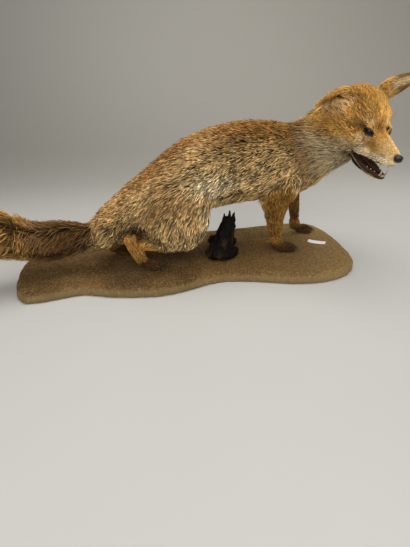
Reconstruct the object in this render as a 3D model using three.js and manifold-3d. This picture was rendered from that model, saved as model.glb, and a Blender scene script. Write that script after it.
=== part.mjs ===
// Mounted red fox, life size: crouching on its hind legs, head turned to its right,
// mouth open, on a sand-textured board with a jagged stump under its belly.
// Millimetres. +X runs to the fox's front, +Y to its left, +Z up. The origin is on the
// underside of the board, at the middle of its outline.
import * as THREE from "three";
import { mergeGeometries, mergeVertices } from "three/addons/utils/BufferGeometryUtils.js";
import Module from "manifold-3d";

const wasm = await Module();
wasm.setup();

// ---------------------------------------------------------------- driving sizes
// Neighbours stay GAP apart; CLEARANCE is a little more, as a grown room has flat faces.
const GAP = 0.3;
const CLEARANCE = 0.36;
const WELD = 1e-4;

const BOARD_LENGTH = 738;
const BOARD_DEPTH = 286;
const BOARD_THICKNESS = 21;
const BOARD_ROLL = 12;

const STUMP_PLACE = [70, -14];
const STUMP_HEIGHT = 107;

const LABEL_SIZE = [42, 17, 0.6];
const LABEL_PLACE = [307, 5];
const LABEL_TURN = -33;

// The body plane: lengthwise places are measured from this point, on this heading.
const BODY_CENTRE = [55, 12];
const BODY_HEADING = 4;

// The head frame starts midway between the eyes, x to the nose and y to the left eye.
const HEAD_PLACE = [329, -122, 297];
const HEAD_HEADING = -81;
const HEAD_NOD = 13.5;
const HEAD_ROLL = -2.4;

const EYE_RADIUS = 10.5;
const EYE_SPREAD = 19.5;
const EAR_LENGTH = 88;
const EAR_WIDTH = 43;
const EAR_WALL = 4;
const EAR_BACK = 13;
const CANINE_LENGTH = 14;
const CLAW_LENGTH = 13;
const TAIL_CUTS = [-356, -486];

const COAT = {
  rust: [0xa5713f, 0.85],
  agouti: [0x9a8262, 0.85],
  cream: [0xcdbd9d, 0.85],
  ochre: [0x8d6a3d, 0.8],
  brush: [0x7b5c3c, 0.9],
  black: [0x1c1815, 0.45],
  tongue: [0x6b3a35, 0.4],
  eye: [0x120c08, 0.08],
  paper: [0xf2f1ec, 0.7],
  sand: [0x87694a, 0.95],
  bark: [0x2b211a, 0.9],
};

// ---------------------------------------------------------------- solids
function toSolid(geometry) {
  const bare = new THREE.BufferGeometry();
  bare.setAttribute("position", geometry.getAttribute("position").clone());
  if (geometry.index) bare.setIndex(geometry.index.clone());
  const merged = mergeVertices(bare, WELD);
  return new wasm.Manifold(new wasm.Mesh({
    numProp: 3,
    vertProperties: new Float32Array(merged.getAttribute("position").array),
    triVerts: new Uint32Array(merged.index.array),
  }));
}

function toGeometry(solid) {
  const { vertProperties, triVerts } = solid.getMesh();
  const geometry = new THREE.BufferGeometry();
  geometry.setAttribute("position", new THREE.BufferAttribute(vertProperties, 3));
  geometry.setIndex(new THREE.BufferAttribute(triVerts, 1));
  geometry.computeVertexNormals();
  return geometry;
}

// Moves every face outwards, which leaves the clearance that a neighbour keeps.
function grown(geometry, distance) {
  const bare = new THREE.BufferGeometry();
  bare.setAttribute("position", geometry.getAttribute("position").clone());
  if (geometry.index) bare.setIndex(geometry.index.clone());
  const merged = mergeVertices(bare, WELD);
  merged.computeVertexNormals();
  const place = merged.getAttribute("position");
  const normal = merged.getAttribute("normal");
  for (let i = 0; i < place.count; i += 1) {
    place.setXYZ(
      i,
      place.getX(i) + normal.getX(i) * distance,
      place.getY(i) + normal.getY(i) * distance,
      place.getZ(i) + normal.getZ(i) * distance,
    );
  }
  return merged;
}

const joined = (shapes) => shapes.map(toSolid).reduce((sum, solid) => sum.add(solid));

const roomFor = (shapes) => joined(shapes.map((shape) => grown(shape, CLEARANCE)));

function piece(name, solid, [color, roughness]) {
  const material = new THREE.MeshStandardMaterial({ color, roughness, metalness: 0 });
  const mesh = new THREE.Mesh(toGeometry(solid), material);
  mesh.name = name;
  return mesh;
}

// A rounded body along a smooth centre line. Each station is
// [x, y, z, half width, height above the centre, depth below it].
function loft(stations, { up = [0, 0, 1], around = 20, rows = 12, blunt = 3.2, square = 2.2 } = {}) {
  const line = new THREE.CatmullRomCurve3(stations.map(([x, y, z]) => new THREE.Vector3(x, y, z)));
  const girth = new THREE.CatmullRomCurve3(stations.map(([, , , w, u, d]) => new THREE.Vector3(w, u, d)));
  const hint = new THREE.Vector3(...up).normalize();
  const geometry = new THREE.SphereGeometry(1, around, rows);
  const place = geometry.getAttribute("position");
  const bend = (value) => (Math.abs(value) < 1e-9 ? 0 : Math.sign(value) * Math.abs(value) ** (2 / square));
  for (let i = 0; i < place.count; i += 1) {
    const along = THREE.MathUtils.clamp(place.getY(i), -1, 1);
    const t = (along + 1) / 2;
    const ring = Math.hypot(place.getX(i), place.getZ(i));
    const upward = ring > 1e-6 ? bend(place.getX(i) / ring) : 0;
    const sideways = ring > 1e-6 ? bend(place.getZ(i) / ring) : 0;
    const swell = Math.max(0, 1 - Math.abs(along) ** blunt) ** (1 / blunt);
    const tangent = line.getTangent(t);
    const side = hint.clone().cross(tangent).normalize();
    const top = tangent.clone().cross(side);
    const size = girth.getPoint(t);
    const point = line.getPoint(t);
    point.addScaledVector(side, sideways * swell * size.x);
    point.addScaledVector(top, upward * swell * (upward > 0 ? size.y : size.z));
    place.setXYZ(i, point.x, point.y, point.z);
  }
  return geometry;
}

function cone(from, to, radius, sides = 6) {
  const start = new THREE.Vector3(...from);
  const axis = new THREE.Vector3(...to).sub(start);
  const geometry = new THREE.ConeGeometry(radius, axis.length(), sides);
  geometry.translate(0, axis.length() / 2, 0);
  geometry.applyQuaternion(new THREE.Quaternion().setFromUnitVectors(
    new THREE.Vector3(0, 1, 0),
    axis.clone().normalize(),
  ));
  return geometry.translate(start.x, start.y, start.z);
}

function ball(centre, radii, around = 12, rows = 8) {
  return new THREE.SphereGeometry(1, around, rows).scale(...radii).translate(...centre);
}

// ---------------------------------------------------------------- places
const bodyHeading = THREE.MathUtils.degToRad(BODY_HEADING);

// Turns stations given along, across and above the body plane into places.
function onBody(stations) {
  return stations.map(([along, across, height, ...girth]) => [
    BODY_CENTRE[0] + along * Math.cos(bodyHeading) - across * Math.sin(bodyHeading),
    BODY_CENTRE[1] + along * Math.sin(bodyHeading) + across * Math.cos(bodyHeading),
    height,
    ...girth,
  ]);
}

const headTurn = new THREE.Euler(
  THREE.MathUtils.degToRad(HEAD_ROLL),
  THREE.MathUtils.degToRad(HEAD_NOD),
  THREE.MathUtils.degToRad(HEAD_HEADING),
  "ZYX",
);
const headMatrix = new THREE.Matrix4().compose(
  new THREE.Vector3(...HEAD_PLACE),
  new THREE.Quaternion().setFromEuler(headTurn),
  new THREE.Vector3(1, 1, 1),
);

// ---------------------------------------------------------------- the stand
// The outline at the widest, as [x, y]. The near edge waves twice; the far edge and the
// blunt ends run smoothly round the corners.
const nearEdge = [
  [-350, -91], [-300, -88], [-246, -82], [-190, -106], [-104, -126], [-50, -122],
  [10, -106], [60, -99], [130, -113], [200, -137], [262, -142], [318, -126], [352, -88],
];
const farEdge = [
  [366, -20], [368, 50], [358, 118], [322, 141], [200, 142], [60, 143], [-80, 143],
  [-220, 140], [-318, 122], [-360, 70], [-369, 0], [-366, -56],
];

function boardShape(top, roll) {
  const outline = [...nearEdge, ...farEdge].map(([x, y]) => {
    const far = Math.hypot(x, y);
    return new THREE.Vector3(x * (1 - roll / far), y * (1 - roll / far), 0);
  });
  const edge = new THREE.CatmullRomCurve3(outline, true, "centripetal");
  const shape = new THREE.Shape(edge.getPoints(50).slice(0, -1).map(({ x, y }) => new THREE.Vector2(x, y)));
  return new THREE.ExtrudeGeometry(shape, {
    depth: top - roll,
    bevelEnabled: true,
    bevelSize: roll,
    bevelThickness: roll,
    bevelSegments: 2,
  });
}

function board() {
  const rolled = toSolid(boardShape(BOARD_THICKNESS, BOARD_ROLL));
  const under = new THREE.BoxGeometry(BOARD_LENGTH * 2, BOARD_DEPTH * 2, BOARD_ROLL * 2);
  return rolled.subtract(toSolid(under.translate(0, 0, -BOARD_ROLL)));
}

const ground = BOARD_THICKNESS + GAP;

// The stump about its own place: a spreading foot, a tapering stem, knots and spikes.
function stumpShapes() {
  const foot = loft([
    [-42, -4, ground + 8, 20, 17, 8],
    [-8, -10, ground + 12, 30, 24, 13],
    [22, 0, ground + 4, 22, 18, 3],
  ], { around: 8, rows: 6 });
  const stem = loft([
    [-6, -2, ground + 4, 28, 26, 26],
    [0, 0, ground + 34, 23, 21, 24],
    [6, 2, ground + 62, 18, 18, 18],
    [11, 3, ground + 90, 17, 17, 15],
  ], { up: [1, 0, 0], around: 8, rows: 7 });
  const knots = [
    [-24, -10, ground + 24, 15],
    [14, -18, ground + 16, 16],
    [-4, -24, ground + 22, 13],
    [18, 10, ground + 28, 15],
    [-16, 16, ground + 30, 17],
  ].map(([x, y, z, size]) => ball([x, y, z], [size, size * 0.9, size * 0.8], 7, 5));
  const spikes = [
    [0, 2, ground + STUMP_HEIGHT - 7],
    [12, 0, ground + STUMP_HEIGHT],
    [25, 6, ground + STUMP_HEIGHT - 6],
  ].map(([x, y, z]) => cone([x * 0.7, y, ground + 64], [x, y, z], 11, 5));
  return [foot, stem, ...knots, ...spikes].map((shape) => shape.translate(...STUMP_PLACE, 0));
}

function stump() {
  const floor = new THREE.BoxGeometry(400, 400, 60).translate(...STUMP_PLACE, ground - 30);
  return joined(stumpShapes()).subtract(toSolid(floor));
}

function label() {
  const sheet = new THREE.BoxGeometry(...LABEL_SIZE);
  sheet.rotateZ(THREE.MathUtils.degToRad(LABEL_TURN));
  return toSolid(sheet.translate(...LABEL_PLACE, ground + LABEL_SIZE[2] / 2));
}

// ---------------------------------------------------------------- trunk, neck and tail
// How lofts that stand upright are laid out.
const legUp = { up: [1, 0, 0], around: 12, rows: 9 };

const trunkShapes = [
  loft(onBody([
    [-266, 0, 112, 36, 30, 36],
    [-222, 0, 124, 58, 38, 50],
    [-176, 0, 142, 66, 44, 42],
    [-130, 0, 162, 72, 54, 52],
    [-78, 0, 184, 72, 70, 64],
    [-22, 0, 203, 69, 83, 73],
    [38, 0, 212, 69, 89, 74],
    [98, 0, 212, 71, 91, 73],
    [158, 0, 213, 72, 90, 82],
    [206, 0, 214, 68, 84, 82],
    [244, -2, 214, 56, 68, 70],
  ]), { around: 18, rows: 14, blunt: 3.6 }),
  // The long hair that hangs behind the haunches, under the root of the tail.
  loft(onBody([
    [-218, -10, 136, 44, 30, 34],
    [-236, -16, 108, 42, 30, 34],
    [-244, -20, 84, 36, 27, 30],
    [-246, -22, 64, 24, 18, 22],
  ]), { ...legUp, rows: 8 }),
];

const neckShapes = [
  loft([
    [180, 22, 222, 60, 70, 84],
    [240, 14, 234, 66, 76, 92],
    [298, 2, 254, 58, 70, 92],
  ], { around: 14, rows: 8, blunt: 3 }),
  loft([
    [276, 26, 270, 58, 62, 70],
    [298, -18, 282, 68, 69, 80],
    [314, -56, 292, 69, 66, 68],
    [324, -92, 300, 58, 60, 50],
  ], { around: 14, rows: 8, blunt: 3 }),
];

const tailShapes = [
  loft(onBody([
    [-236, 0, 108, 40, 40, 42],
    [-268, -1, 100, 48, 48, 47],
    [-308, -2, 93, 51, 51, 50],
    [-352, -4, 91, 51, 47, 49],
    [-396, -7, 101, 52, 47, 50],
    [-440, -11, 126, 55, 54, 54],
    [-486, -15, 158, 55, 54, 56],
    [-532, -18, 182, 47, 46, 48],
    [-574, -19, 201, 34, 33, 34],
    [-612, -19, 214, 15, 14, 14],
  ]), { around: 14, rows: 16, blunt: 3 }),
];

// The parts of a long body on either side of cutting planes across its heading.
function lengths(solid, cuts) {
  const parts = [];
  let rest = solid;
  for (const along of cuts) {
    const [[x, y]] = onBody([[along, 0, 0]]);
    const slab = new THREE.BoxGeometry(2000, 2000, 2000);
    slab.translate(1000 + GAP / 2, 0, 0).rotateZ(bodyHeading).translate(x, y, 0);
    const other = new THREE.BoxGeometry(2000, 2000, 2000);
    other.translate(-1000 - GAP / 2, 0, 0).rotateZ(bodyHeading).translate(x, y, 0);
    parts.push(rest.intersect(toSolid(slab)));
    rest = rest.intersect(toSolid(other));
  }
  return [...parts, rest];
}

// ---------------------------------------------------------------- legs
// A paw pointing along the body's heading: four toes with claws, on a sloping instep.
function pawShapes(heel, length, width, turn) {
  const [[x, y]] = onBody([[heel[0], heel[1], 0]]);
  const sole = ground;
  const pad = loft([
    [0, 0, sole + 10, width * 0.4, 11, 10],
    [length * 0.4, 0, sole + 10, width * 0.46, 12, 10],
    [length * 0.74, 0, sole + 9, width * 0.47, 9, 9],
  ], { around: 8, rows: 5, square: 2.6 });
  const shapes = [pad];
  for (const finger of [-1.5, -0.5, 0.5, 1.5]) {
    const reach = length * (0.9 - 0.06 * Math.abs(finger) ** 2);
    const across = finger * width * 0.27;
    shapes.push(loft([
      [length * 0.42, across * 0.8, sole + 10, width * 0.15, 8, 9],
      [reach - 12, across, sole + 8.5, width * 0.155, 7.5, 8.5],
      [reach, across * 1.06, sole + 7, width * 0.13, 6, 7],
    ], { around: 6, rows: 4 }));
    shapes.push(cone(
      [reach - 4, across * 1.06, sole + 8.5],
      [reach + CLAW_LENGTH * 0.75, across * 1.1, sole + 1.4],
      2.4,
      4,
    ));
  }
  const heading = bodyHeading + THREE.MathUtils.degToRad(turn);
  return shapes.map((shape) => shape.rotateZ(heading).translate(x, y, 0));
}

const forelegs = {
  right: {
    upper: [loft(onBody([
      [142, -42, 214, 26, 48, 46],
      [134, -48, 176, 27, 40, 48],
      [127, -47, 142, 21, 27, 38],
      [127, -45, 106, 16, 18, 25],
      [129, -44, 74, 14, 15, 19],
      [134, -44, 46, 13, 13, 15],
    ]), legUp)],
    paw: [
      loft(onBody([
        [130, -44, 66, 13, 14, 14],
        [134, -45, 46, 14, 14, 15],
        [140, -46, ground + 12, 15, 15, 16],
      ]), { ...legUp, around: 10, rows: 6 }),
      ...pawShapes([134, -47], 54, 34, 0),
    ],
  },
  left: {
    upper: [loft(onBody([
      [186, 40, 210, 26, 44, 42],
      [190, 46, 170, 25, 34, 34],
      [208, 47, 132, 17, 21, 22],
      [219, 46, 100, 14, 14, 14],
      [223, 46, 72, 12, 13, 13],
      [226, 46, 46, 12, 13, 13],
    ]), legUp)],
    paw: [
      loft(onBody([
        [223, 46, 66, 13, 13, 13],
        [227, 46, 46, 13, 13, 14],
        [232, 46, ground + 12, 14, 14, 15],
      ]), { ...legUp, around: 10, rows: 6 }),
      ...pawShapes([228, 46], 54, 33, -6),
    ],
  },
};

const thighRound = { up: [1, 0, 0], around: 14, rows: 10, blunt: 3.4 };

function shank(across, heelAlong) {
  return [loft(onBody([
    [heelAlong + 96, across, 80, 17, 20, 19],
    [heelAlong + 50, across, 78, 17, 20, 19],
    [heelAlong + 8, across, 84, 15, 18, 18],
    [heelAlong - 26, across, 98, 12, 13, 13],
  ]), { around: 12, rows: 8 })];
}

function hindFoot(across, heelAlong, turn, length) {
  return [
    loft(onBody([
      [heelAlong - 26, across, 106, 13, 15, 14],
      [heelAlong - 19, across, 84, 14, 18, 14],
      [heelAlong - 6, across, 52, 13, 13, 12],
      [heelAlong + 4, across, ground + 10, 14, 14, 13],
    ]), { ...legUp, around: 10, rows: 7 }),
    ...pawShapes([heelAlong, across], length, 33, turn),
  ];
}

const hindlegs = {
  right: {
    thigh: [loft(onBody([
      [-150, -36, 196, 32, 56, 38],
      [-128, -48, 172, 40, 84, 66],
      [-112, -54, 134, 41, 92, 84],
      [-112, -52, 100, 38, 78, 76],
      [-126, -46, 74, 28, 50, 52],
    ]), thighRound)],
    shank: shank(-45, -172),
    foot: hindFoot(-44, -172, -4, 45),
  },
  left: {
    thigh: [loft(onBody([
      [-160, 36, 182, 30, 50, 32],
      [-140, 48, 160, 39, 76, 58],
      [-128, 54, 130, 41, 84, 78],
      [-128, 52, 98, 38, 72, 70],
      [-140, 46, 76, 28, 46, 48],
    ]), thighRound)],
    shank: shank(45, -222),
    foot: hindFoot(44, -222, 4, 50),
  },
};

// ---------------------------------------------------------------- head, in its own frame
const skullShapes = [
  loft([
    [-110, 0, -2, 42, 48, 44],
    [-88, 0, -2, 58, 62, 52],
    [-60, 0, -2, 63, 64, 54],
    [-34, 0, -4, 56, 53, 50],
    [-12, 0, -7, 41, 34, 38],
    [10, 0, -14, 27, 20, 27],
  ], { around: 16, rows: 10, blunt: 3.6, square: 2.1 }),
  loft([
    [-24, 0, -14, 31, 22, 27],
    [4, 0, -15, 24, 21, 28],
    [28, 0, -20, 18.5, 17, 23],
    [50, 0, -24, 15.5, 13, 18.5],
    [71, 0, -26, 11.5, 10, 13],
  ], { around: 14, rows: 11, blunt: 3.6, square: 2.2 }),
  ball([-7, 20, 8], [12, 9, 8], 8, 6),
  ball([-7, -20, 8], [12, 9, 8], 8, 6),
];

// The edge of the upper lip, hanging over the gum along one side. The side is 1 on the left.
const upperLip = (side) => loft([
  [-20, side * 24, -44, 6, 8, 7],
  [6, side * 20, -37, 5.5, 9, 8],
  [24, side * 16.5, -35.5, 5, 9, 7.5],
  [44, side * 13.5, -35.5, 4.5, 8, 8],
  [61, side * 7.5, -34, 4, 6, 6],
], { around: 8, rows: 8 });

// The space that the open mouth leaves under the upper lip, from the corner forwards.
const mouthRoof = loft([
  [-26, 0, -64, 60, 12, 40],
  [6, 0, -64, 60, 20, 40],
  [44, 0, -64, 60, 21, 40],
  [100, 0, -64, 60, 24, 40],
], { around: 8, rows: 6, blunt: 6, square: 6 });

const jawShapes = [
  loft([
    [-42, 0, -52, 22, 9, 11],
    [-14, 0, -60, 22, 8, 12],
    [12, 0, -66, 17.5, 7, 10.5],
    [34, 0, -68, 13.5, 6.5, 9.5],
    [56, 0, -66, 9, 5.5, 7.5],
  ], { around: 12, rows: 9, blunt: 3.4, square: 2.6 }),
];

const tongueShapes = [
  loft([
    [-14, 0, -50, 10, 3, 6],
    [8, 0, -55, 11, 3, 5],
    [28, 0, -59, 8.5, 2.5, 4],
    [44, 0, -60, 6, 1.8, 3],
  ], { around: 8, rows: 6 }),
];

function upperTeeth() {
  const teeth = [];
  for (const side of [-1, 1]) {
    teeth.push(cone([50, side * 8.5, -35], [48, side * 10, -39 - CANINE_LENGTH], 3.2, 5));
    for (let i = 0; i < 3; i += 1) {
      const x = 38 - i * 10;
      const across = side * (10 + i * 1.8);
      teeth.push(cone([x, across, -37], [x, across, -48], 3.6, 4));
    }
    for (let i = 0; i < 3; i += 1) {
      const across = side * (1.6 + i * 2.5);
      teeth.push(cone([61 - i * 1.6, across, -31], [61 - i * 1.6, across, -43], 2, 4));
    }
  }
  return teeth;
}

function lowerTeeth() {
  const teeth = [];
  for (const side of [-1, 1]) {
    teeth.push(cone([49, side * 6, -67], [53, side * 7.5, -62 + CANINE_LENGTH * 0.7], 3, 5));
    for (let i = 0; i < 3; i += 1) {
      const x = 33 - i * 9;
      const across = side * (9 + i * 1.8);
      teeth.push(cone([x, across, -68], [x, across, -56], 3, 4));
    }
  }
  return teeth;
}

const noseShapes = [ball([70.5, 0, -23], [8.5, 9, 7.5], 10, 7)];

const eyeShape = (side) => ball([-2, side * EYE_SPREAD, -1], [EYE_RADIUS, EYE_RADIUS, EYE_RADIUS], 10, 7);

// A cupped ear growing from its root to its tip and opening towards its front.
function earBlade(width, depth, back, start, end) {
  return loft([
    [start, 0, 0, width * 0.46, depth, back],
    [EAR_LENGTH * 0.22, 0, 0, width * 0.5, depth, back],
    [EAR_LENGTH * 0.5, 0, 0, width * 0.42, depth * 0.9, back * 0.85],
    [EAR_LENGTH * 0.76, 0, 0, width * 0.25, depth * 0.7, back * 0.65],
    [end, 0, 0, width * 0.07, depth * 0.4, back * 0.4],
  ], { around: 12, rows: 8 });
}

function earPlace([root, tip, front]) {
  const axis = new THREE.Vector3(...tip).sub(new THREE.Vector3(...root));
  const x = axis.clone().normalize();
  const y = new THREE.Vector3(...front).cross(x).normalize();
  const z = x.clone().cross(y);
  const place = new THREE.Matrix4().makeBasis(x, y, z);
  place.scale(new THREE.Vector3(axis.length() / EAR_LENGTH, 1, 1));
  return place.setPosition(...root);
}

// Root, tip and facing of each ear: the left one is raised, the right one laid back.
const earStance = {
  left: [[-60, 29, 46], [-36, 98, 95], [0.9, 0.3, 0.1]],
  right: [[-56, -40, 50], [-96, -82, 10], [0.2, -0.5, -0.85]],
};
const earBlades = {};
const ears = {};
for (const [side, stance] of Object.entries(earStance)) {
  const place = earPlace(stance);
  const outside = earBlade(EAR_WIDTH, 8, EAR_BACK, -4, EAR_LENGTH).applyMatrix4(place);
  const bowl = earBlade(EAR_WIDTH - 2 * EAR_WALL, 40, EAR_BACK - EAR_WALL, 18, EAR_LENGTH - 8);
  earBlades[side] = [outside];
  ears[side] = toSolid(outside).subtract(toSolid(bowl.applyMatrix4(place)));
}

// ---------------------------------------------------------------- assembly
const fox = new THREE.Group();
const head = new THREE.Group();
head.applyMatrix4(headMatrix);
fox.add(head);

// The rooms of the pieces already in place. Each new piece is cut back to clear them.
const rooms = [];

function settle(name, finish, shapes, solid = joined(shapes)) {
  const clear = rooms.reduce((rest, room) => rest.subtract(room), solid);
  rooms.push(roomFor(shapes));
  fox.add(piece(name, clear, finish));
}

const onHead = (shape) => shape.clone().applyMatrix4(headMatrix);

// A piece of the head is cut where it stands and then hung in the head's own group.
function settleOnHead(name, finish, shapes, solid = joined(shapes)) {
  settle(name, finish, shapes.map(onHead), toSolid(onHead(toGeometry(solid))));
  const mesh = fox.children.at(-1);
  mesh.geometry.applyMatrix4(headMatrix.clone().invert());
  head.add(mesh);
}

fox.add(piece("base", board(), COAT.sand));
fox.add(piece("stump", stump(), COAT.bark));
fox.add(piece("label", label(), COAT.paper));

for (const [name, side] of [["left", 1], ["right", -1]]) {
  settleOnHead(`eye_${name}`, COAT.eye, [eyeShape(side)]);
}
settleOnHead("nose", COAT.black, noseShapes);
settleOnHead("lower_jaw", COAT.black, [...jawShapes, ...lowerTeeth()]);
settleOnHead("tongue", COAT.tongue, tongueShapes);
const skull = joined(skullShapes).subtract(toSolid(mouthRoof));
const mouthEdge = joined([...upperTeeth(), upperLip(1), upperLip(-1)]);
settleOnHead("head", COAT.rust, skullShapes, skull.add(mouthEdge));
for (const name of ["left", "right"]) {
  settleOnHead(`ear_${name}`, COAT.rust, earBlades[name], ears[name]);
}

settle("trunk", COAT.agouti, trunkShapes);
settle("neck", COAT.agouti, neckShapes);
for (const [name, { upper, paw }] of Object.entries(forelegs)) {
  settle(`forepaw_${name}`, COAT.ochre, paw);
  settle(`foreleg_${name}`, COAT.ochre, upper);
}
for (const [name, { thigh, shank, foot }] of Object.entries(hindlegs)) {
  settle(`thigh_${name}`, COAT.agouti, thigh);
  settle(`hindpaw_${name}`, COAT.ochre, foot);
  settle(`shank_${name}`, COAT.ochre, shank);
}

const tail = rooms.reduce((rest, room) => rest.subtract(room), joined(tailShapes));
const tailNames = ["tail_root", "tail_middle", "tail_tip"];
lengths(tail, TAIL_CUTS).forEach((solid, i) => fox.add(piece(tailNames[i], solid, COAT.brush)));

export default fox;
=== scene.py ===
"""Looks of a mounted red fox on its stand: hide, coat, face, mouth, claws, board and stump.

Lengths in the dataclasses are millimetres. Blender works in metres, so they pass through MM.
"""

import logging
import math
from dataclasses import dataclass
from enum import Enum
from typing import Callable, Iterable, Sequence

import bpy
import numpy as np
from mathutils import Matrix, Vector
from mathutils.bvhtree import BVHTree


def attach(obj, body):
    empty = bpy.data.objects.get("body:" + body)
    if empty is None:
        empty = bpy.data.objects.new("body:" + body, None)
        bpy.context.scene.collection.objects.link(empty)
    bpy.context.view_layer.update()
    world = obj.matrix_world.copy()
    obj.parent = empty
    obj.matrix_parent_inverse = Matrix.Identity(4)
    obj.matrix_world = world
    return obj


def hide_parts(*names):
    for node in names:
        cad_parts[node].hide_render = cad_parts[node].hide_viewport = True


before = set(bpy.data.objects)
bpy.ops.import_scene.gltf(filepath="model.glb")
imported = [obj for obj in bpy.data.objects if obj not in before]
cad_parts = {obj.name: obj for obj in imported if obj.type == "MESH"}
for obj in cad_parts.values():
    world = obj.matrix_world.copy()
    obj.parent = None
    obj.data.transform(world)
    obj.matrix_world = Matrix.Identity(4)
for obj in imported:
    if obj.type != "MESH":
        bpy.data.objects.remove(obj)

log = logging.getLogger("fox")

MM = 0.001
BODY = "root"
SEED = 20260
MERGE = 0.02
TINY = 1e-6
STREAK_CORE = 0.4
CELL_PRIMES = (73856093, 19349663, 83492791)
COAT_MAP = "OFBake"
TUFT_PATCH = 0.003
FLESH = (
    "trunk", "neck", "head", "lower_jaw", "ear_left", "ear_right", "tail_root", "tail_middle", "tail_tip",
    "forepaw_right", "foreleg_right", "forepaw_left", "foreleg_left", "thigh_right", "hindpaw_right",
    "shank_right", "thigh_left", "hindpaw_left", "shank_left",
)

Array = np.ndarray
Dice = np.random.Generator
Piece = bpy.types.Object
Material = bpy.types.Material
Point = tuple[float, float, float]
Layers = list[tuple[str, Array]]
Sizes = dict[str, Array]


# ------------------------------------------------------------------ arithmetic on places
def ramp(value: Array, low: float, high: float) -> Array:
    """Smooth step of a value.

    Args:
        value: Numbers to map.
        low: Where the result starts to leave 0.
        high: Where the result reaches 1.

    Returns:
        Numbers from 0 to 1.
    """
    share = np.clip((value - low) / (high - low), 0.0, 1.0)
    return share * share * (3.0 - 2.0 * share)


def unit(vectors: Array) -> Array:
    """The same directions, each with length 1."""
    return vectors / np.maximum(np.linalg.norm(vectors, axis=-1, keepdims=True), 1e-9)


def spot(points: Array, centre: Sequence[float], radii: Sequence[float], soft: float = 0.5) -> Array:
    """A soft-edged ellipsoid of influence.

    Args:
        points: Places in the frame of the centre.
        centre: Middle of the ellipsoid.
        radii: Its three half axes.
        soft: Share of the radius over which it fades, on either side of the edge.

    Returns:
        1 inside, 0 outside.
    """
    reach = np.linalg.norm((points - np.asarray(centre)) / np.asarray(radii), axis=1)
    return 1.0 - ramp(reach, 1.0 - soft, 1.0 + soft)


def streak(points: Array, start: Sequence[float], end: Sequence[float], reach: float) -> Array:
    """A soft-edged band of influence along a line.

    Args:
        points: Places in the frame of the line.
        start: One end of the line.
        end: Its other end.
        reach: How far from the line the influence falls to nothing.

    Returns:
        1 on the line, 0 beyond its reach.
    """
    line = np.asarray(end, float) - np.asarray(start, float)
    ray = points - np.asarray(start)
    share = np.clip(ray @ line / (line @ line), 0, 1)
    off = np.linalg.norm(ray - share[:, None] * line, axis=1)
    return 1 - ramp(off, STREAK_CORE * reach, reach)


def waves(points: Array, size: float, seed: int = 0) -> Array:
    """A smooth wandering value about 0, built from crossed sine waves.

    Args:
        points: Places, in the unit of size.
        size: Rough distance from one rise to the next.
        seed: Picks one of many patterns.

    Returns:
        Numbers mostly between -1 and 1.
    """
    dice = np.random.default_rng(SEED + seed)
    total = np.zeros(len(points))
    for _ in range(7):
        heading = unit(dice.normal(size=3))
        pitch = 2.0 * math.pi / (size * dice.uniform(0.7, 1.6))
        bent = points @ heading * pitch + dice.uniform(0, 6.3)
        total += np.sin(bent + 0.8 * np.sin(points @ unit(dice.normal(size=3)) * pitch * 0.7))
    return total / 3.2


@dataclass(frozen=True)
class Place:
    """A frame of its own within the part: where it starts and how it is turned."""

    origin: Point
    heading: float = 0.0
    nod: float = 0.0
    roll: float = 0.0

    def turn(self) -> Array:
        """The turning part as a 3 by 3 matrix."""
        angles = [math.radians(a) for a in (self.heading, self.nod, self.roll)]
        matrix = Matrix.Rotation(angles[0], 3, "Z") @ Matrix.Rotation(angles[1], 3, "Y")
        return np.array(matrix @ Matrix.Rotation(angles[2], 3, "X"))

    def outwards(self, points: Array) -> Array:
        """Places of this frame given in the part's frame."""
        return np.asarray(points, float) @ self.turn().T + np.asarray(self.origin)

    def inwards(self, points: Array) -> Array:
        """Places of the part's frame given in this frame."""
        return (np.asarray(points, float) - np.asarray(self.origin)) @ self.turn()

    def aim(self, vectors: Array) -> Array:
        """Directions of this frame given in the part's frame."""
        return np.asarray(vectors, float) @ self.turn().T


HEAD = Place((329.0, -122.0, 297.0), heading=-81.0, nod=13.5, roll=-2.4)
BODY_PLANE = Place((55.0, 12.0, 0.0), heading=4.0)
GROUND = 21.3


# ------------------------------------------------------------------ shader maths
class Socket:
    """A shader value that can be written in expressions."""

    def __init__(self, shader: "Shader", socket: bpy.types.NodeSocket) -> None:
        """Wraps an output socket of a shader's node tree."""
        self.shader = shader
        self.socket = socket

    def _math(self, operation: str, *values: "Socket | float") -> "Socket":
        """Adds one Math node and returns its value."""
        inputs = dict(enumerate(values))
        return self.shader.node("ShaderNodeMath", {"operation": operation}, inputs)

    def __add__(self, other: "Socket | float") -> "Socket":
        """Sum."""
        return self._math("ADD", self, other)

    __radd__ = __add__

    def __mul__(self, other: "Socket | float") -> "Socket":
        """Product."""
        return self._math("MULTIPLY", self, other)

    __rmul__ = __mul__

    def __rsub__(self, other: "Socket | float") -> "Socket":
        """Difference from a number."""
        return self._math("SUBTRACT", other, self)

    def step(self, low: float, high: float) -> "Socket":
        """Smooth step from 0 at low to 1 at high."""
        ranges = {"Value": self, "From Min": low, "From Max": high}
        return self.shader.node("ShaderNodeMapRange", {"interpolation_type": "SMOOTHSTEP"}, ranges)


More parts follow.
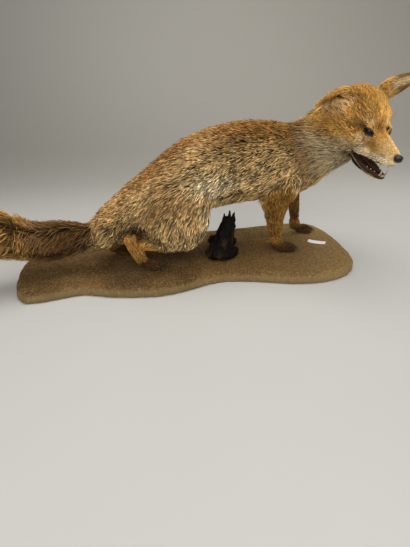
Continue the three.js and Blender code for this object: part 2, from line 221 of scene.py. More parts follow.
class Shader:
    """A material under construction."""

    def __init__(self, name: str) -> None:
        """Starts an empty material with its output node."""
        self.material = bpy.data.materials.new(name)
        self.material.use_nodes = True
        self.tree = self.material.node_tree
        self.tree.nodes.clear()
        self.output = self.tree.nodes.new("ShaderNodeOutputMaterial")

    def node(
        self, kind: str, settings: dict[str, object], inputs: dict[str | int, object], output: str | int = 0,
    ) -> Socket:
        """Adds any node.

        Args:
            kind: The node's type name.
            settings: Its properties, set first.
            inputs: Values or links by socket name or number.
            output: The socket to return.

        Returns:
            The chosen output.
        """
        made = self.tree.nodes.new(kind)
        for name, value in settings.items():
            setattr(made, name, value)
        for name, value in inputs.items():
            socket = made.inputs[name]
            if isinstance(value, Socket):
                self.tree.links.new(value.socket, socket)
            else:
                socket.default_value = value
        return Socket(self, made.outputs[output])

    def place(self, scale: Point = (1.0, 1.0, 1.0)) -> Socket:
        """The piece's own coordinates in metres, multiplied by a scale along each axis."""
        here = self.node("ShaderNodeTexCoord", {}, {}, "Object")
        return self.node("ShaderNodeMapping", {"vector_type": "POINT"}, {"Vector": here, "Scale": scale})

    def axis(self, vector: Socket, number: int) -> Socket:
        """One axis of a place, from 0 for X."""
        return self.node("ShaderNodeSeparateXYZ", {}, {0: vector}, number)

    def noise(self, vector: Socket, scale: float, detail: float = 3.0, rough: float = 0.55) -> Socket:
        """Cloudy noise from 0 to 1."""
        inputs = {"Vector": vector, "Scale": scale, "Detail": detail, "Roughness": rough}
        return self.node("ShaderNodeTexNoise", {}, inputs)

    def cells(self, vector: Socket, scale: float) -> Socket:
        """Distance to the nearest of many scattered points."""
        return self.node("ShaderNodeTexVoronoi", {}, {"Vector": vector, "Scale": scale})

    def attribute(self, name: str, output: str = "Fac") -> Socket:
        """A value stored on the mesh."""
        return self.node("ShaderNodeAttribute", {"attribute_name": name}, {}, output)

    def mix(self, share: Socket | float, first: object, second: object, blend: str = "MIX") -> Socket:
        """Mixes two colours, from the first at 0 to the second at 1."""
        inputs = {0: share, 6: first, 7: second}
        return self.node("ShaderNodeMix", {"data_type": "RGBA", "blend_type": blend}, inputs, 2)

    def layered(self, base: Socket, *layers: tuple[Socket, str]) -> Socket:
        """Lays colours over a base, each through its mask."""
        for mask, code in layers:
            base = self.mix(mask, base, colour(code))
        return base

    def bump(self, height: Socket, distance: float, strength: float) -> Socket:
        """Surface tilt from a height, whose 1 is as high as the distance in metres."""
        inputs = {"Height": height, "Distance": distance, "Strength": strength}
        return self.node("ShaderNodeBump", {}, inputs)

    def finish(self, **sockets: object) -> Material:
        """Ends with a Principled shader whose sockets are named with _ for spaces."""
        inputs = {name.replace("_", " "): value for name, value in sockets.items()}
        surface = self.node("ShaderNodeBsdfPrincipled", {}, inputs)
        self.tree.links.new(surface.socket, self.output.inputs["Surface"])
        return self.material


def colour(code: str) -> tuple[float, float, float, float]:
    """A linear colour from a six-digit screen colour."""
    shares = [int(code[i:i + 2], 16) / 255.0 for i in (0, 2, 4)]
    linear = [s / 12.92 if s <= 0.04045 else ((s + 0.055) / 1.055) ** 2.4 for s in shares]
    return (*linear, 1.0)


# ------------------------------------------------------------------ mesh helpers
def only(*objects: Piece) -> None:
    """Selects these objects and nothing else. The first becomes the active one."""
    if bpy.context.object and bpy.context.object.mode != "OBJECT":
        bpy.ops.object.mode_set(mode="OBJECT")
    bpy.ops.object.select_all(action="DESELECT")
    for item in objects:
        item.select_set(True)
    bpy.context.view_layer.objects.active = objects[0]


def edit(item: Piece, *steps: Callable[[], object]) -> None:
    """Runs edit-mode steps on a piece, each on all of its faces."""
    only(item)
    bpy.ops.object.mode_set(mode="EDIT")
    for step in steps:
        bpy.ops.mesh.select_all(action="SELECT")
        step()
    bpy.ops.object.mode_set(mode="OBJECT")


def face_outwards() -> None:
    """Edit-mode step that turns all faces outwards."""
    bpy.ops.mesh.normals_make_consistent(inside=False)


def slice_at(level: float) -> Callable[[], object]:
    """Edit-mode step that cuts a ring of edges round an upright piece at a height."""
    return lambda: bpy.ops.mesh.bisect(plane_co=(0, 0, level), plane_no=(0, 0, 1))


def remesh(item: Piece, voxel: float, rounds: int) -> None:
    """Rebuilds a piece from voxels of a size in millimetres, then smooths it some rounds."""
    apply_modifier(item, "REMESH", mode="VOXEL", voxel_size=voxel * MM, use_smooth_shade=True)
    if rounds:
        apply_modifier(item, "SMOOTH", factor=0.5, iterations=rounds)


def apply_modifier(item: Piece, kind: str, **settings: object) -> None:
    """Adds a modifier to a piece and applies it.

    Args:
        item: The piece.
        kind: The modifier's type.
        settings: Its properties.
    """
    only(item)
    made = item.modifiers.new(kind.title(), kind)
    for name, value in settings.items():
        setattr(made, name, value)
    bpy.ops.object.modifier_apply(modifier=made.name)


def join(items: Sequence[Piece], name: str) -> Piece:
    """Joins pieces into the first of them and names it."""
    only(*items)
    if len(items) > 1:
        bpy.ops.object.join()
    joined = bpy.context.object
    joined.name = name
    joined.data.name = name
    return joined


def copy_of(node: str, name: str) -> Piece:
    """A merged copy of a node's mesh, free to be changed."""
    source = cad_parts[node]
    copied = bpy.data.objects.new(name, source.data.copy())
    copied.data.materials.clear()
    bpy.context.scene.collection.objects.link(copied)
    edit(copied, lambda: bpy.ops.mesh.remove_doubles(threshold=MERGE * MM))
    bpy.ops.object.shade_smooth()
    return copied


def fetch(items: bpy.types.bpy_prop_collection, name: str, width: int, kind: type = float) -> Array:
    """A property of many mesh elements as an array, one row for each element."""
    flat = np.empty(len(items) * width, kind)
    items.foreach_get(name, flat)
    return flat.reshape(-1, width)


def corners(item: Piece) -> Array:
    """The places of a mesh's vertices, in millimetres."""
    return fetch(item.data.vertices, "co", 3) / MM


def set_corners(item: Piece, points: Array) -> None:
    """Moves a mesh's vertices to places given in millimetres."""
    item.data.vertices.foreach_set("co", (points * MM).ravel())
    item.data.update()


def store(mesh: bpy.types.Mesh, name: str, values: Array) -> None:
    """Stores a number or a colour for each vertex of a mesh."""
    coloured = values.ndim == 2
    kept = mesh.attributes.new(name, "FLOAT_COLOR" if coloured else "FLOAT", "POINT")
    kept.data.foreach_set("color" if coloured else "value", values.astype(np.float32).ravel())


def mesh_from(name: str, points: Array, faces: Sequence[Array]) -> Piece:
    """A new piece from arrays.

    Args:
        name: Its name.
        points: Vertices in millimetres.
        faces: Blocks of vertex numbers, one block for each number of sides.

    Returns:
        The piece, shaded smooth, riding on nothing yet.
    """
    mesh = bpy.data.meshes.new(name)
    mesh.vertices.add(len(points))
    mesh.vertices.foreach_set("co", (points * MM).astype(np.float32).ravel())
    sides = np.concatenate([np.full(len(block), block.shape[1]) for block in faces])
    mesh.loops.add(int(sides.sum()))
    mesh.loops.foreach_set("vertex_index", np.concatenate([block.ravel() for block in faces]))
    mesh.polygons.add(len(sides))
    starts = np.concatenate([[0], np.cumsum(sides)[:-1]])
    mesh.polygons.foreach_set("loop_start", starts)
    mesh.polygons.foreach_set("use_smooth", np.ones(len(sides), bool))
    mesh.update(calc_edges=True)
    mesh.validate()
    made = bpy.data.objects.new(name, mesh)
    bpy.context.scene.collection.objects.link(made)
    return made


def dress(item: Piece, material: Material, slot: str, *nodes: str) -> Piece:
    """Finishes a piece and hangs it on the body.

    Args:
        item: The piece.
        material: Its only material.
        slot: The record's slot for its finish; not used.
        nodes: Nodes that it stands for.

    Returns:
        The piece.
    """
    item.data.materials.clear()
    item.data.materials.append(material)
    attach(item, BODY)
    if nodes:
        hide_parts(*nodes)
    item.data.calc_loop_triangles()
    log.info("%s: %d triangles", item.name, len(item.data.loop_triangles))
    return item


class Relief:
    """A mesh as arrays, in millimetres, with what is worked out from them."""

    def __init__(self, item: Piece) -> None:
        """Reads a piece's triangles, edges and normals."""
        mesh = item.data
        mesh.calc_loop_triangles()
        self.points = corners(item)
        self.triangles = fetch(mesh.loop_triangles, "vertices", 3, np.int32)
        self.edges = fetch(mesh.edges, "vertices", 2, np.int32)
        self.normals = unit(fetch(mesh.vertices, "normal", 3))

    def tree(self) -> BVHTree:
        """A search tree of the triangles."""
        return BVHTree.FromPolygons(self.points.tolist(), self.triangles.tolist())

    def spread(self, values: Array, rounds: int) -> Array:
        """Averages a value with its neighbours', several times over.

        Args:
            values: One number or row for each vertex.
            rounds: How many times.

        Returns:
            The softened values.
        """
        rows = values.reshape(len(values), -1).astype(float)
        first, second = self.edges.T
        size = len(rows)
        count = np.bincount(first, minlength=size) + np.bincount(second, minlength=size) + 1.0
        for _ in range(rounds):
            total = [
                np.bincount(first, column[second], size) + np.bincount(second, column[first], size) + column
                for column in rows.T
            ]
            rows = np.stack(total, axis=1) / count[:, None]
        return rows.reshape(values.shape)


# ------------------------------------------------------------------ the coat's plan
class Zone(Enum):
    """Stretches of the body that differ in their hair."""

    TRUNK = 0
    NECK = 1
    HEAD = 2
    JAW = 3
    EAR = 4
    TAIL = 5
    UPPER_LEG = 6
    THIGH = 7
    SHANK = 8
    PAW = 9


ZONE_OF = {
    "trunk": Zone.TRUNK, "neck": Zone.NECK, "head": Zone.HEAD, "lower_jaw": Zone.JAW, "ear": Zone.EAR,
    "tail": Zone.TAIL, "foreleg": Zone.UPPER_LEG, "thigh": Zone.THIGH, "shank": Zone.SHANK,
    "forepaw": Zone.PAW, "hindpaw": Zone.PAW,
}


def zone_of(node: str) -> Zone:
    """The zone that a node belongs to, from the start of its name."""
    return next(zone for start, zone in ZONE_OF.items() if node.startswith(start))


@dataclass(frozen=True)
class Fur:
    """The hair of one zone: length, depth of the coat, and how its tufts lie, clump and differ in shade."""

    length: float
    depth: float
    width: float
    spacing: float
    clump: float
    ragged: float
    contrast: float


FUR = {
    Zone.TRUNK: Fur(25, depth=13, width=1.9, spacing=2.55, clump=0.85, ragged=0.28, contrast=1.0),
    Zone.NECK: Fur(24, depth=17, width=1.4, spacing=2.35, clump=0.7, ragged=0.25, contrast=0.5),
    Zone.HEAD: Fur(9, depth=4, width=0.7, spacing=1.62, clump=0.6, ragged=0.25, contrast=0.75),
    Zone.JAW: Fur(6, depth=1.2, width=0.7, spacing=1.9, clump=0.2, ragged=0.25, contrast=0.5),
    Zone.EAR: Fur(7, depth=0.8, width=0.75, spacing=1.9, clump=0.4, ragged=0.3, contrast=0.5),
    Zone.TAIL: Fur(38, depth=30, width=1.5, spacing=2.15, clump=0.45, ragged=0.35, contrast=0.55),
    Zone.UPPER_LEG: Fur(12, depth=4.5, width=1.2, spacing=2.15, clump=0.6, ragged=0.25, contrast=0.6),
    Zone.THIGH: Fur(23, depth=11, width=1.8, spacing=2.5, clump=0.85, ragged=0.28, contrast=1.0),
    Zone.SHANK: Fur(14, depth=5, width=1.2, spacing=2.15, clump=0.5, ragged=0.25, contrast=0.7),
    Zone.PAW: Fur(8, depth=2.6, width=1.0, spacing=2.1, clump=0.4, ragged=0.25, contrast=0.6),
}


@dataclass(frozen=True)
class EarBlade:
    """One ear in the head's frame: root, tip and the way its bowl faces."""

    root: Point
    tip: Point
    front: Point

    def share(self, head: Array, normals: Array) -> tuple[Array, Array, Array]:
        """Where places lie in the ear.

        Args:
            head: Places in the head's frame.
            normals: The surface's directions there, in the part's frame.

        Returns:
            0 at the root to 1 at the tip, 1 in the bowl to 0 on the back, and millimetres across.
        """
        axis = np.array(self.tip) - np.array(self.root)
        along = unit(axis)
        across = unit(np.cross(np.array(self.front), along))
        out = np.cross(along, across)
        ray = head - np.array(self.root)
        up = ray @ along / np.linalg.norm(axis)
        bowl = ramp(normals @ HEAD.turn() @ out, -0.1, 0.4)
        return up, bowl, ray @ across


FRINGE = ((-50, -50, 31), (-80, -68, 4))
EAR_LEFT = EarBlade((-60, 29, 46), (-36, 98, 95), (0.9, 0.3, 0.1))
EAR_RIGHT = EarBlade((-56, -40, 50), (-96, -82, 10), (0.2, -0.5, -0.85))


class Groom:
    """Which way the hair lies, zone by zone."""

    SPINE = np.array([
        [-620, 214], [-532, 182], [-440, 126], [-352, 91], [-268, 100], [-222, 124], [-130, 162],
        [-22, 203], [98, 212], [244, 214],
    ], float)

    def flow(self, points: Array, zone: Zone) -> Array:
        """The lie of the hair before it is laid on the skin.

        Args:
            points: Places in the part's frame.
            zone: The zone whose rule applies.

        Returns:
            One direction for each place.
        """
        body = BODY_PLANE.inwards(points)
        head = HEAD.inwards(points)
        rules: dict[Zone, Callable[[], Array]] = {
            Zone.TRUNK: lambda: self._along_body(body),
            Zone.NECK: lambda: self._down_neck(body, head),
            Zone.HEAD: lambda: self._over_head(head),
            Zone.JAW: lambda: HEAD.aim(np.tile([-1.0, 0.0, -0.25], (len(points), 1))),
            Zone.EAR: lambda: self._up_ears(head),
            Zone.TAIL: lambda: self._along_tail(body),
            Zone.UPPER_LEG: lambda: self._down_leg(body, -0.12),
            Zone.THIGH: lambda: self._round_thigh(body),
            Zone.SHANK: lambda: BODY_PLANE.aim(np.tile([-1.0, 0.0, -0.35], (len(points), 1))),
            Zone.PAW: lambda: self._over_paw(body),
        }
        return unit(rules[zone]())

    def _along_body(self, body: Array) -> Array:
        """Backwards along the spine, and more downwards lower on the flank."""
        x, _, z = body.T
        axis = np.interp(x, *self.SPINE.T)
        low = ramp(axis - z, -20.0, 80.0)
        slope = (np.interp(x - 30, *self.SPINE.T) - np.interp(x + 30, *self.SPINE.T)) / 60
        swirl = waves(body, 95.0, 3) * 0.45
        chest = ramp(x, 150.0, 230.0) * low
        back = np.stack([-1.0 + 0.35 * low, np.zeros(len(body)), slope - 0.75 * low + swirl], axis=1)
        down = np.tile([-0.15, 0.0, -1.0], (len(body), 1))
        return BODY_PLANE.aim(back * (1 - chest)[:, None] + down * chest[:, None])

    def _down_neck(self, body: Array, head: Array) -> Array:
        """From the head down to the shoulders, hanging under the throat."""
        away = HEAD.aim(unit(head - np.array([40.0, 0.0, 0.0])))
        back = BODY_PLANE.aim(np.tile([-1.0, 0.15, -0.35], (len(body), 1)))
        far = ramp(np.linalg.norm(head, axis=1), 60.0, 150.0)[:, None]
        low = ramp(230.0 - body[:, 2], 0.0, 60.0)[:, None]
        return (away * (1 - far) + back * far) * (1 - 0.6 * low) + np.array([0.0, 0.0, -0.8]) * low

    def _over_head(self, head: Array) -> Array:
        """From the nose back over the face, spreading over the cheeks."""
        back = unit(head - np.array([88.0, 0.0, -24.0]))
        cheek = ramp(-head[:, 0], 5.0, 70.0) * ramp(-head[:, 2], -12.0, 30.0)
        back[:, 2] -= 0.45 * cheek
        return HEAD.aim(back)

    def _up_ears(self, head: Array) -> Array:
        """From each ear's root to its tip."""
        ways = [np.subtract(ear.tip, ear.root) for ear in (EAR_LEFT, EAR_RIGHT)]
        return HEAD.aim(np.where(head[:, 1:2] > 0, *ways))

    def _along_tail(self, body: Array) -> Array:
        """Back and down round the tail, and straight back at its tip."""
        rise = np.interp(body[:, 0] - 20, *self.SPINE.T) - np.interp(body[:, 0] + 20, *self.SPINE.T)
        back = unit(np.stack([np.full(len(body), -40.0), np.zeros(len(body)), rise], axis=1))
        side = (1 - ramp(-body[:, 0], 470.0, 570.0)) * (1 + 0.4 * waves(body, 60.0, 9))
        down = np.array([0.0, 0.0, -0.9])
        return BODY_PLANE.aim(0.6 * back + down * side[:, None] + 0.4 * back * (1 - side)[:, None])

    def _down_leg(self, body: Array, lean: float) -> Array:
        """Down a leg, leaning a little backwards."""
        return BODY_PLANE.aim(np.tile([lean, 0.0, -1.0], (len(body), 1)))

    def _round_thigh(self, body: Array) -> Array:
        """Backwards over the hip, then down over the haunch."""
        low = ramp(200.0 - body[:, 2], 0.0, 90.0)[:, None]
        back = np.array([-1.0, 0.0, -0.45])
        down = np.array([-0.25, 0.0, -1.0])
        swirl = waves(body, 80.0, 5)[:, None] * np.array([0.35, 0.0, 0.2])
        return BODY_PLANE.aim(back * (1 - low) + down * low + swirl)

    def _over_paw(self, body: Array) -> Array:
        """Down the pastern, then forwards over the toes."""
        low = ramp(70.0 - body[:, 2], 0.0, 40.0)[:, None]
        return BODY_PLANE.aim(np.array([0.15, 0.0, -1.0]) * (1 - low) + np.array([1.0, 0.0, -0.3]) * low)


GROOM = Groom()


BASES = {
    Zone.TRUNK: "agouti", Zone.THIGH: "agouti", Zone.NECK: "ash", Zone.HEAD: "honey", Zone.JAW: "cream",
    Zone.EAR: "gold", Zone.TAIL: "brush", Zone.UPPER_LEG: "ochre", Zone.SHANK: "gold", Zone.PAW: "umber",
}


@dataclass(frozen=True)
class Palette:
    """The coat's and skin's colours."""

    rust: str = "96632c"
    honey: str = "c89d54"
    tassel: str = "f4cd90"
    agouti: str = "bd9d6a"
    sand: str = "dcbf88"
    cream: str = "ead7ae"
    ash: str = "b3a07c"
    gold: str = "c8964c"
    ochre: str = "946c33"
    umber: str = "5e3f1d"
    brush: str = "aa8353"
    soot: str = "2c1e13"

    def tint(self, name: str) -> Array:
        """A named colour as three linear shares."""
        return np.array(colour(getattr(self, name))[:3])


class Markings:
    """The coat's colours over the body, with some painted shade and highlights, for skin and tufts alike."""

    def __init__(self, palette: Palette) -> None:
        """Takes the colours to use."""
        self.palette = palette

    def _layers(self, size: int, base: str, layers: Iterable[tuple[str, Array]]) -> Array:
        """Lays named colours over one another, each through its mask."""
        result = np.tile(self.palette.tint(base), (size, 1))
        for name, mask in layers:
            share = np.clip(mask, 0, 1)[:, None]
            result = result * (1 - share) + self.palette.tint(name) * share
        return result

    def tints(self, points: Array, normals: Array, zone: Zone) -> Array:
        """The colour of each place of a zone.

        Args:
            points: Places in the part's frame.
            normals: The skin's directions there.
            zone: The zone whose rule applies.

        Returns:
            Linear colours.
        """
        body = BODY_PLANE.inwards(points)
        head = HEAD.inwards(points)
        blur = waves(points, 26.0, 11)
        rules: dict[Zone, Callable[[], Layers]] = {
            Zone.TRUNK: lambda: self._trunk(body, blur),
            Zone.THIGH: lambda: self._thigh(body, blur),
            Zone.NECK: lambda: self._neck(body, head, blur),
            Zone.HEAD: lambda: self._head(head, blur),
            Zone.JAW: lambda: [("soot", ramp(head[:, 2], -73.0, -70.0))],
            Zone.EAR: lambda: self._ears(head, normals, blur),
            Zone.TAIL: lambda: self._tail(body, blur),
            Zone.UPPER_LEG: lambda: self._foreleg(body, blur),
            Zone.SHANK: lambda: self._shank(body, blur),
            Zone.PAW: lambda: self._paw(body, blur),
        }
        return self._layers(len(points), BASES[zone], rules[zone]())

    def _trunk(self, body: Array, blur: Array) -> Layers:
        """Rusty back, grizzled flank, ochre belly, dark whorls on the shoulder and painted shade in the
        recess under the rump.
        """
        x, y, z = body.T
        axis = np.interp(x, *Groom.SPINE.T)
        rise = (z - axis) / np.interp(x, [-266, -130, -22, 244], [30, 54, 83, 80])
        near = 1.0 - ramp(y, -40.0, 0.0)
        back = ramp(rise + 0.16 * blur, 0.6, 1.0)
        hips = spot(body, (-112, -70, 225), (60, 50, 34), 0.7)
        shoulder = ramp(x, 90.0, 180.0) * ramp(rise, -0.3, 0.6)
        belly = ramp(-rise + 0.12 * blur, 0.5, 0.85) * (1 - ramp(np.abs(x - 20), 90.0, 140.0))
        whorl = spot(body, (26, -58, 262), (30, 30, 15), 0.6) + spot(body, (-2, -54, 252), (22, 30, 9), 0.6)
        crest = spot(body, (60, -50, 274), (26, 30, 8), 0.7)
        pale = spot(body, (68, -68, 228), (15, 22, 42), 0.6) + spot(body, (-46, -66, 246), (20, 24, 16), 0.7)
        low = spot(body, (-12, -70, 198), (52, 34, 20), 0.5)
        # Painted shade: soot in the recess under the rump, behind the near thigh.
        hole = spot(body, (-180, -60, 116), (26, 36, 24), 0.5)
        tail_fork = spot(body, (-272, -30, 110), (22, 60, 60), 0.6)
        nape = ramp(x, 20.0, 110.0) * ramp(rise, 0.35, 0.85)
        rump = ramp(-x, 150.0, 230.0) * ramp(rise, -0.2, 0.7)
        return [
            ("sand", 0.45 * ramp(blur, -0.2, 0.8)), ("umber", 0.5 * shoulder),
            ("rust", np.maximum(0.85 * back, 0.6 * rump)), ("ochre", 0.9 * nape), ("umber", 0.3 * nape),
            ("ochre", 0.6 * belly), ("cream", 0.95 * low * near),
            ("sand", 0.8 * np.clip(pale, 0, 1) * near), ("soot", 0.9 * hole * near), ("umber", 0.3 * hips),
            ("umber", 0.8 * tail_fork),
            ("umber", 0.8 * np.clip(whorl + crest, 0, 1) * near * ramp(blur, -1.0, 0.2)),
        ]

    def _thigh(self, body: Array, blur: Array) -> Layers:
        """Grizzled haunch with a creamy front edge that is a painted highlight, painted shade in the furrow
        before it and in the recess under the rump, painted light on its lower part, and darker hair over the
        hip.
        """
        x, y, z = body.T
        # A painted highlight: cream along the haunch's front edge.
        front = ramp(x + 4 * blur, -66.0, -42.0) * ramp(172 - z, 0.0, 24.0)
        hip = ramp(z, 165.0, 215.0)
        upper = ramp(z + 8 * blur, 125.0, 175.0)
        dark = spot(body, (-140, -80, 165), (38, 40, 30), 0.7)
        # Painted light: paler sand on the lower haunch.
        under = ramp(130 - z, 0.0, 60.0)
        # Painted shade in the furrow between haunch and belly.
        fold_shade = spot(body, (-58, -85, 170), (28, 26, 14), 0.5)
        # Painted shade: soot in the recess under the rump, on the haunch's inner side.
        hole = spot(body, (-182, -62, 116), (22, 36, 24), 0.5) * (y < 0)
        return [
            ("sand", 0.4 * ramp(blur, -0.3, 0.8)), ("brush", 0.55 * upper), ("rust", 0.45 * hip),
            ("umber", 0.5 * dark), ("sand", 0.6 * under), ("cream", 0.35 * front), ("umber", 0.9 * fold_shade),
            ("soot", 0.85 * hole),
        ]

    def _neck(self, body: Array, head: Array, blur: Array) -> Layers:
        """Golden top and ash ruff, with brown hair behind a furrow of painted shade that is darkest at the
        nape, and painted shade low on the chest.
        """
        x, _, z = body.T
        top = ramp(z + 6 * blur, 276.0, 312.0)
        edge = np.interp(z, [180, 215, 245, 270, 300], [236, 222, 204, 186, 184])
        border = edge - x + 4 * blur
        behind = ramp(border, -5.0, 9.0)
        # Painted shade in the furrow between neck and shoulder.
        fold_shade = (1 - ramp(np.abs(border), 4.0, 15.0)) * ramp(z, 200.0, 250.0)
        # Painted shade: soot where the furrow is deepest, at the nape.
        nape = spot(body, (176, -36, 304), (22, 50, 26), 0.6)
        # Painted shade: darker ochre low on the neck, under the head.
        chest = ramp(215 - z, 0.0, 30.0)
        return [
            ("sand", 0.35 * ramp(blur, 0.0, 0.9)), ("brush", 0.85 * behind), ("ochre", 0.35 * chest),
            ("honey", 0.9 * top * (1 - behind)),
            ("umber", 0.6 * fold_shade), ("soot", 0.6 * nape), ("tassel", streak(head, *FRINGE, 20.0)),
        ]

    def _head(self, head: Array, blur: Array) -> Layers:
        """Golden crown, sandy muzzle that is partly a painted highlight along its top, dark marks round the
        eyes, painted shade in the furrow along the muzzle's side, cream lips and ash cheeks.
        """
        x, y, z = head.T
        across = np.abs(y)
        sided = np.stack([x, across, z], axis=1)
        border = np.interp(x, [-90, -70, -30, 0, 20, 40, 70], [-46, -38, -20, -22, -29, -25, -22])
        pale = ramp(border - z + 2 * blur, -3.0, 5.0)
        front = ramp(x, -34.0, 6.0)
        tear = spot(sided, (19, 18, -20), (13, 9, 8), 0.6)
        behind = spot(sided, (-13, 31, 4), (13, 11, 6.0), 0.6)
        below = spot(sided, (0, 29, -16), (16, 12, 7), 0.6)
        bridge = spot(sided, (12, 0, 8), (20, 9, 12), 0.6)
        brow = spot(sided, (-2, 22, 16), (11, 9, 6), 0.7)
        # Sand along the top of the muzzle: partly its own sandy hair, partly a painted highlight.
        top = ramp(x, 20.0, 42.0) * (1 - pale)
        side = spot(sided, (-24, 46, -2), (26, 16, 12), 0.7)
        # Painted shade in the furrow along the muzzle's side.
        crease_shade = streak(sided, (12, 27, -25), (50, 14, -27), 3.2)
        return [
            ("gold", 0.75 * ramp(blur, -0.4, 0.7)), ("rust", 0.3 * ramp(-blur, 0.2, 0.9)),
            ("sand", 0.7 * brow), ("sand", 0.6 * top), ("ochre", 0.6 * bridge),
            ("ochre", 0.5 * ramp(z, 24.0, 40.0)), ("gold", 0.6 * side), ("cream", 0.6 * below),
            ("ash", 0.85 * pale * (1 - front)), ("cream", 0.98 * pale * front), ("soot", 0.75 * behind),
            ("ochre", 0.75 * tear * (1 - 0.7 * pale)), ("umber", 0.5 * crease_shade),
            ("tassel", streak(head, *FRINGE, 22.0)),
        ]

    def _ears(self, head: Array, normals: Array, blur: Array) -> Layers:
        """Golden backs, a tassel on the folded ear, and a pale bowl with a black tip on the other."""
        left = (head[:, 1] > 0).astype(float)
        places = zip(EAR_LEFT.share(head, normals), EAR_RIGHT.share(head, normals))
        up, bowl, across = (np.where(left > 0, *pair) for pair in places)
        edge = ramp(np.abs(across), 9.0, 13.0) * ramp(up, 0.2, 0.45) * left
        lining = bowl * left * ramp(up, 0.1, 0.4)
        return [
            ("honey", 0.6 * (1 - left)), ("rust", 0.35 * (1 - left) * ramp(blur, -0.2, 0.6)),
            ("sand", 0.9 * lining),
            ("cream", 0.8 * lining * (1 - ramp(np.abs(across), 4.0, 9.0))), ("umber", 0.85 * edge),
            ("soot", 0.9 * ramp(up + 0.08 * blur, 0.72, 0.86) * left),
            ("tassel", streak(head, *FRINGE, 20.0)),
        ]

    def _tail(self, body: Array, blur: Array) -> Layers:
        """Brown brush: darkest at the root, golden towards the end, with a pale tip."""
        x, _, z = body.T
        along = x + 5 * blur
        rise = (z - np.interp(x, *Groom.SPINE.T)) / 50
        dark = spot(body, (-300, -20, 86), (48, 90, 44), 0.6)
        ring = ramp(along, -300.0, -276.0)
        end = ramp(-along + 10 * blur, 560.0, 600.0)
        golden = ramp(-along, 372.0, 404.0)
        return [
            ("umber", np.full(len(body), 0.3)), ("gold", 0.85 * golden),
            ("sand", 0.4 * golden * ramp(-along, 400.0, 440.0)), ("umber", 0.9 * dark),
            ("umber", 0.9 * ring), ("soot", 0.3 * ring),
            ("umber", 0.45 * ramp(rise, 0.5, 0.9)), ("umber", 0.4 * ramp(-rise, 0.5, 0.9)),
            ("cream", 0.8 * end),
        ]

    def _foreleg(self, body: Array, blur: Array) -> Layers:
        """Ochre forelegs, sandier at the shoulder, with a dark stripe down the far one."""
        top = ramp(body[:, 2], 165.0, 215.0)
        stripe = spot(body, (224, 40, 90), (16, 14, 70), 0.4) * (body[:, 1] > 0)
        return [("agouti", 0.75 * top), ("umber", 0.3 * ramp(blur, 0, 0.9)), ("umber", 0.6 * stripe)]

    def _shank(self, body: Array, blur: Array) -> Layers:
        """Gold shanks with rusty streaks, and painted shade that makes them darker in front and dark under
        the haunch.
        """
        # Painted shade: umber towards the front and soot at the top, beneath the haunch.
        return [("rust", 0.5 * ramp(blur, -0.3, 0.7)), ("umber", 0.6 * ramp(body[:, 0], -150.0, -110.0)),
                ("soot", 0.85 * ramp(body[:, 2], 86.0, 98.0))]

    def _paw(self, body: Array, blur: Array) -> Layers:
        """Ochre pasterns over dark feet."""
        high = ramp(body[:, 2] + 3 * blur, 38.0, 60.0)
        rear = ramp(-body[:, 0], 100.0, 130.0)
        return [("soot", 0.6 * (1 - high)), ("ochre", 0.05 + 0.95 * high), ("gold", 0.45 * high * rear)]


MARKINGS = Markings(Palette())


# ------------------------------------------------------------------ the hide
@dataclass
class Eye:
    """One glass eye in its socket, in the head's frame. The side is +1 for the left one."""

    side: int
    radius: float = 10.5
    forward: float = -2.0
    spread: float = 19.5
    height: float = -1.0
    half_width: float = 60.0
    above: float = 24.0
    below: float = 20.0
    lid: float = 1.5
    seat: float = 1.6
    lid_reach: float = 26.0
    facing: Point = (0.62, 0.77, 0.10)
    to_nose: Point = (0.78, -0.60, -0.30)

    def centre(self) -> Array:
        """The ball's middle."""
        return np.array([self.forward, self.side * self.spread, self.height])

    def axes(self) -> tuple[Array, Array, Array]:
        """The way the slit faces, the way to its inner corner, and up across it."""
        out = unit(np.array(self.facing) * [1, self.side, 1])
        inner = np.array(self.to_nose) * [1, self.side, 1]
        inner = unit(inner - out * (inner @ out))
        up = np.cross(out, inner) * -self.side
        return out, inner, up

    def angles(self, head: Array) -> tuple[Array, Array, Array]:
        """Where places lie round the ball.

        Args:
            head: Places in the head's frame.

        Returns:
            Degrees towards the inner corner, degrees upwards, and millimetres from the middle.
        """
        out, inner, up = self.axes()
        ray = head - self.centre()
        reach = np.linalg.norm(ray, axis=1)
        ahead = ray @ out
        across = np.degrees(np.arctan2(ray @ inner, np.maximum(ahead, TINY)))
        level = np.degrees(np.arcsin(np.clip(ray @ up / np.maximum(reach, TINY), -1, 1)))
        across = np.where(ahead > 0, across, 180.0 * np.sign(ray @ inner))
        return across, level, reach

    def rim(self, head: Array) -> Array:
        """How far places lie outside the slit between the lids, in millimetres, less than 0 inside."""
        across, level, _ = self.angles(head)
        share = np.clip(1 - (across / self.half_width) ** 2, 0, 1)
        top = self.above * share ** 0.95
        bottom = -self.below * share
        beyond = np.maximum(np.abs(across) - self.half_width, 0)
        over = np.maximum(level - top, bottom - level)
        outside = np.where(beyond > 0, np.hypot(beyond, level), over)
        return outside * math.radians(1) * self.radius


EYES = (Eye(side=1), Eye(side=-1))


@dataclass(frozen=True)
class Stroke:
    """One push of the modeller's thumb on the face, in the head's frame, mirrored to both sides."""

    at: Point
    reach: Point
    lift: float


GUM_LINE = ((-42, -14, 12, 34, 56), (-43, -52, -59, -61.5, -60.5))
MOUTH_FLOOR = ((-42, -14, 12, 34, 56), (-50, -59, -65.5, -67.5, -66.5))


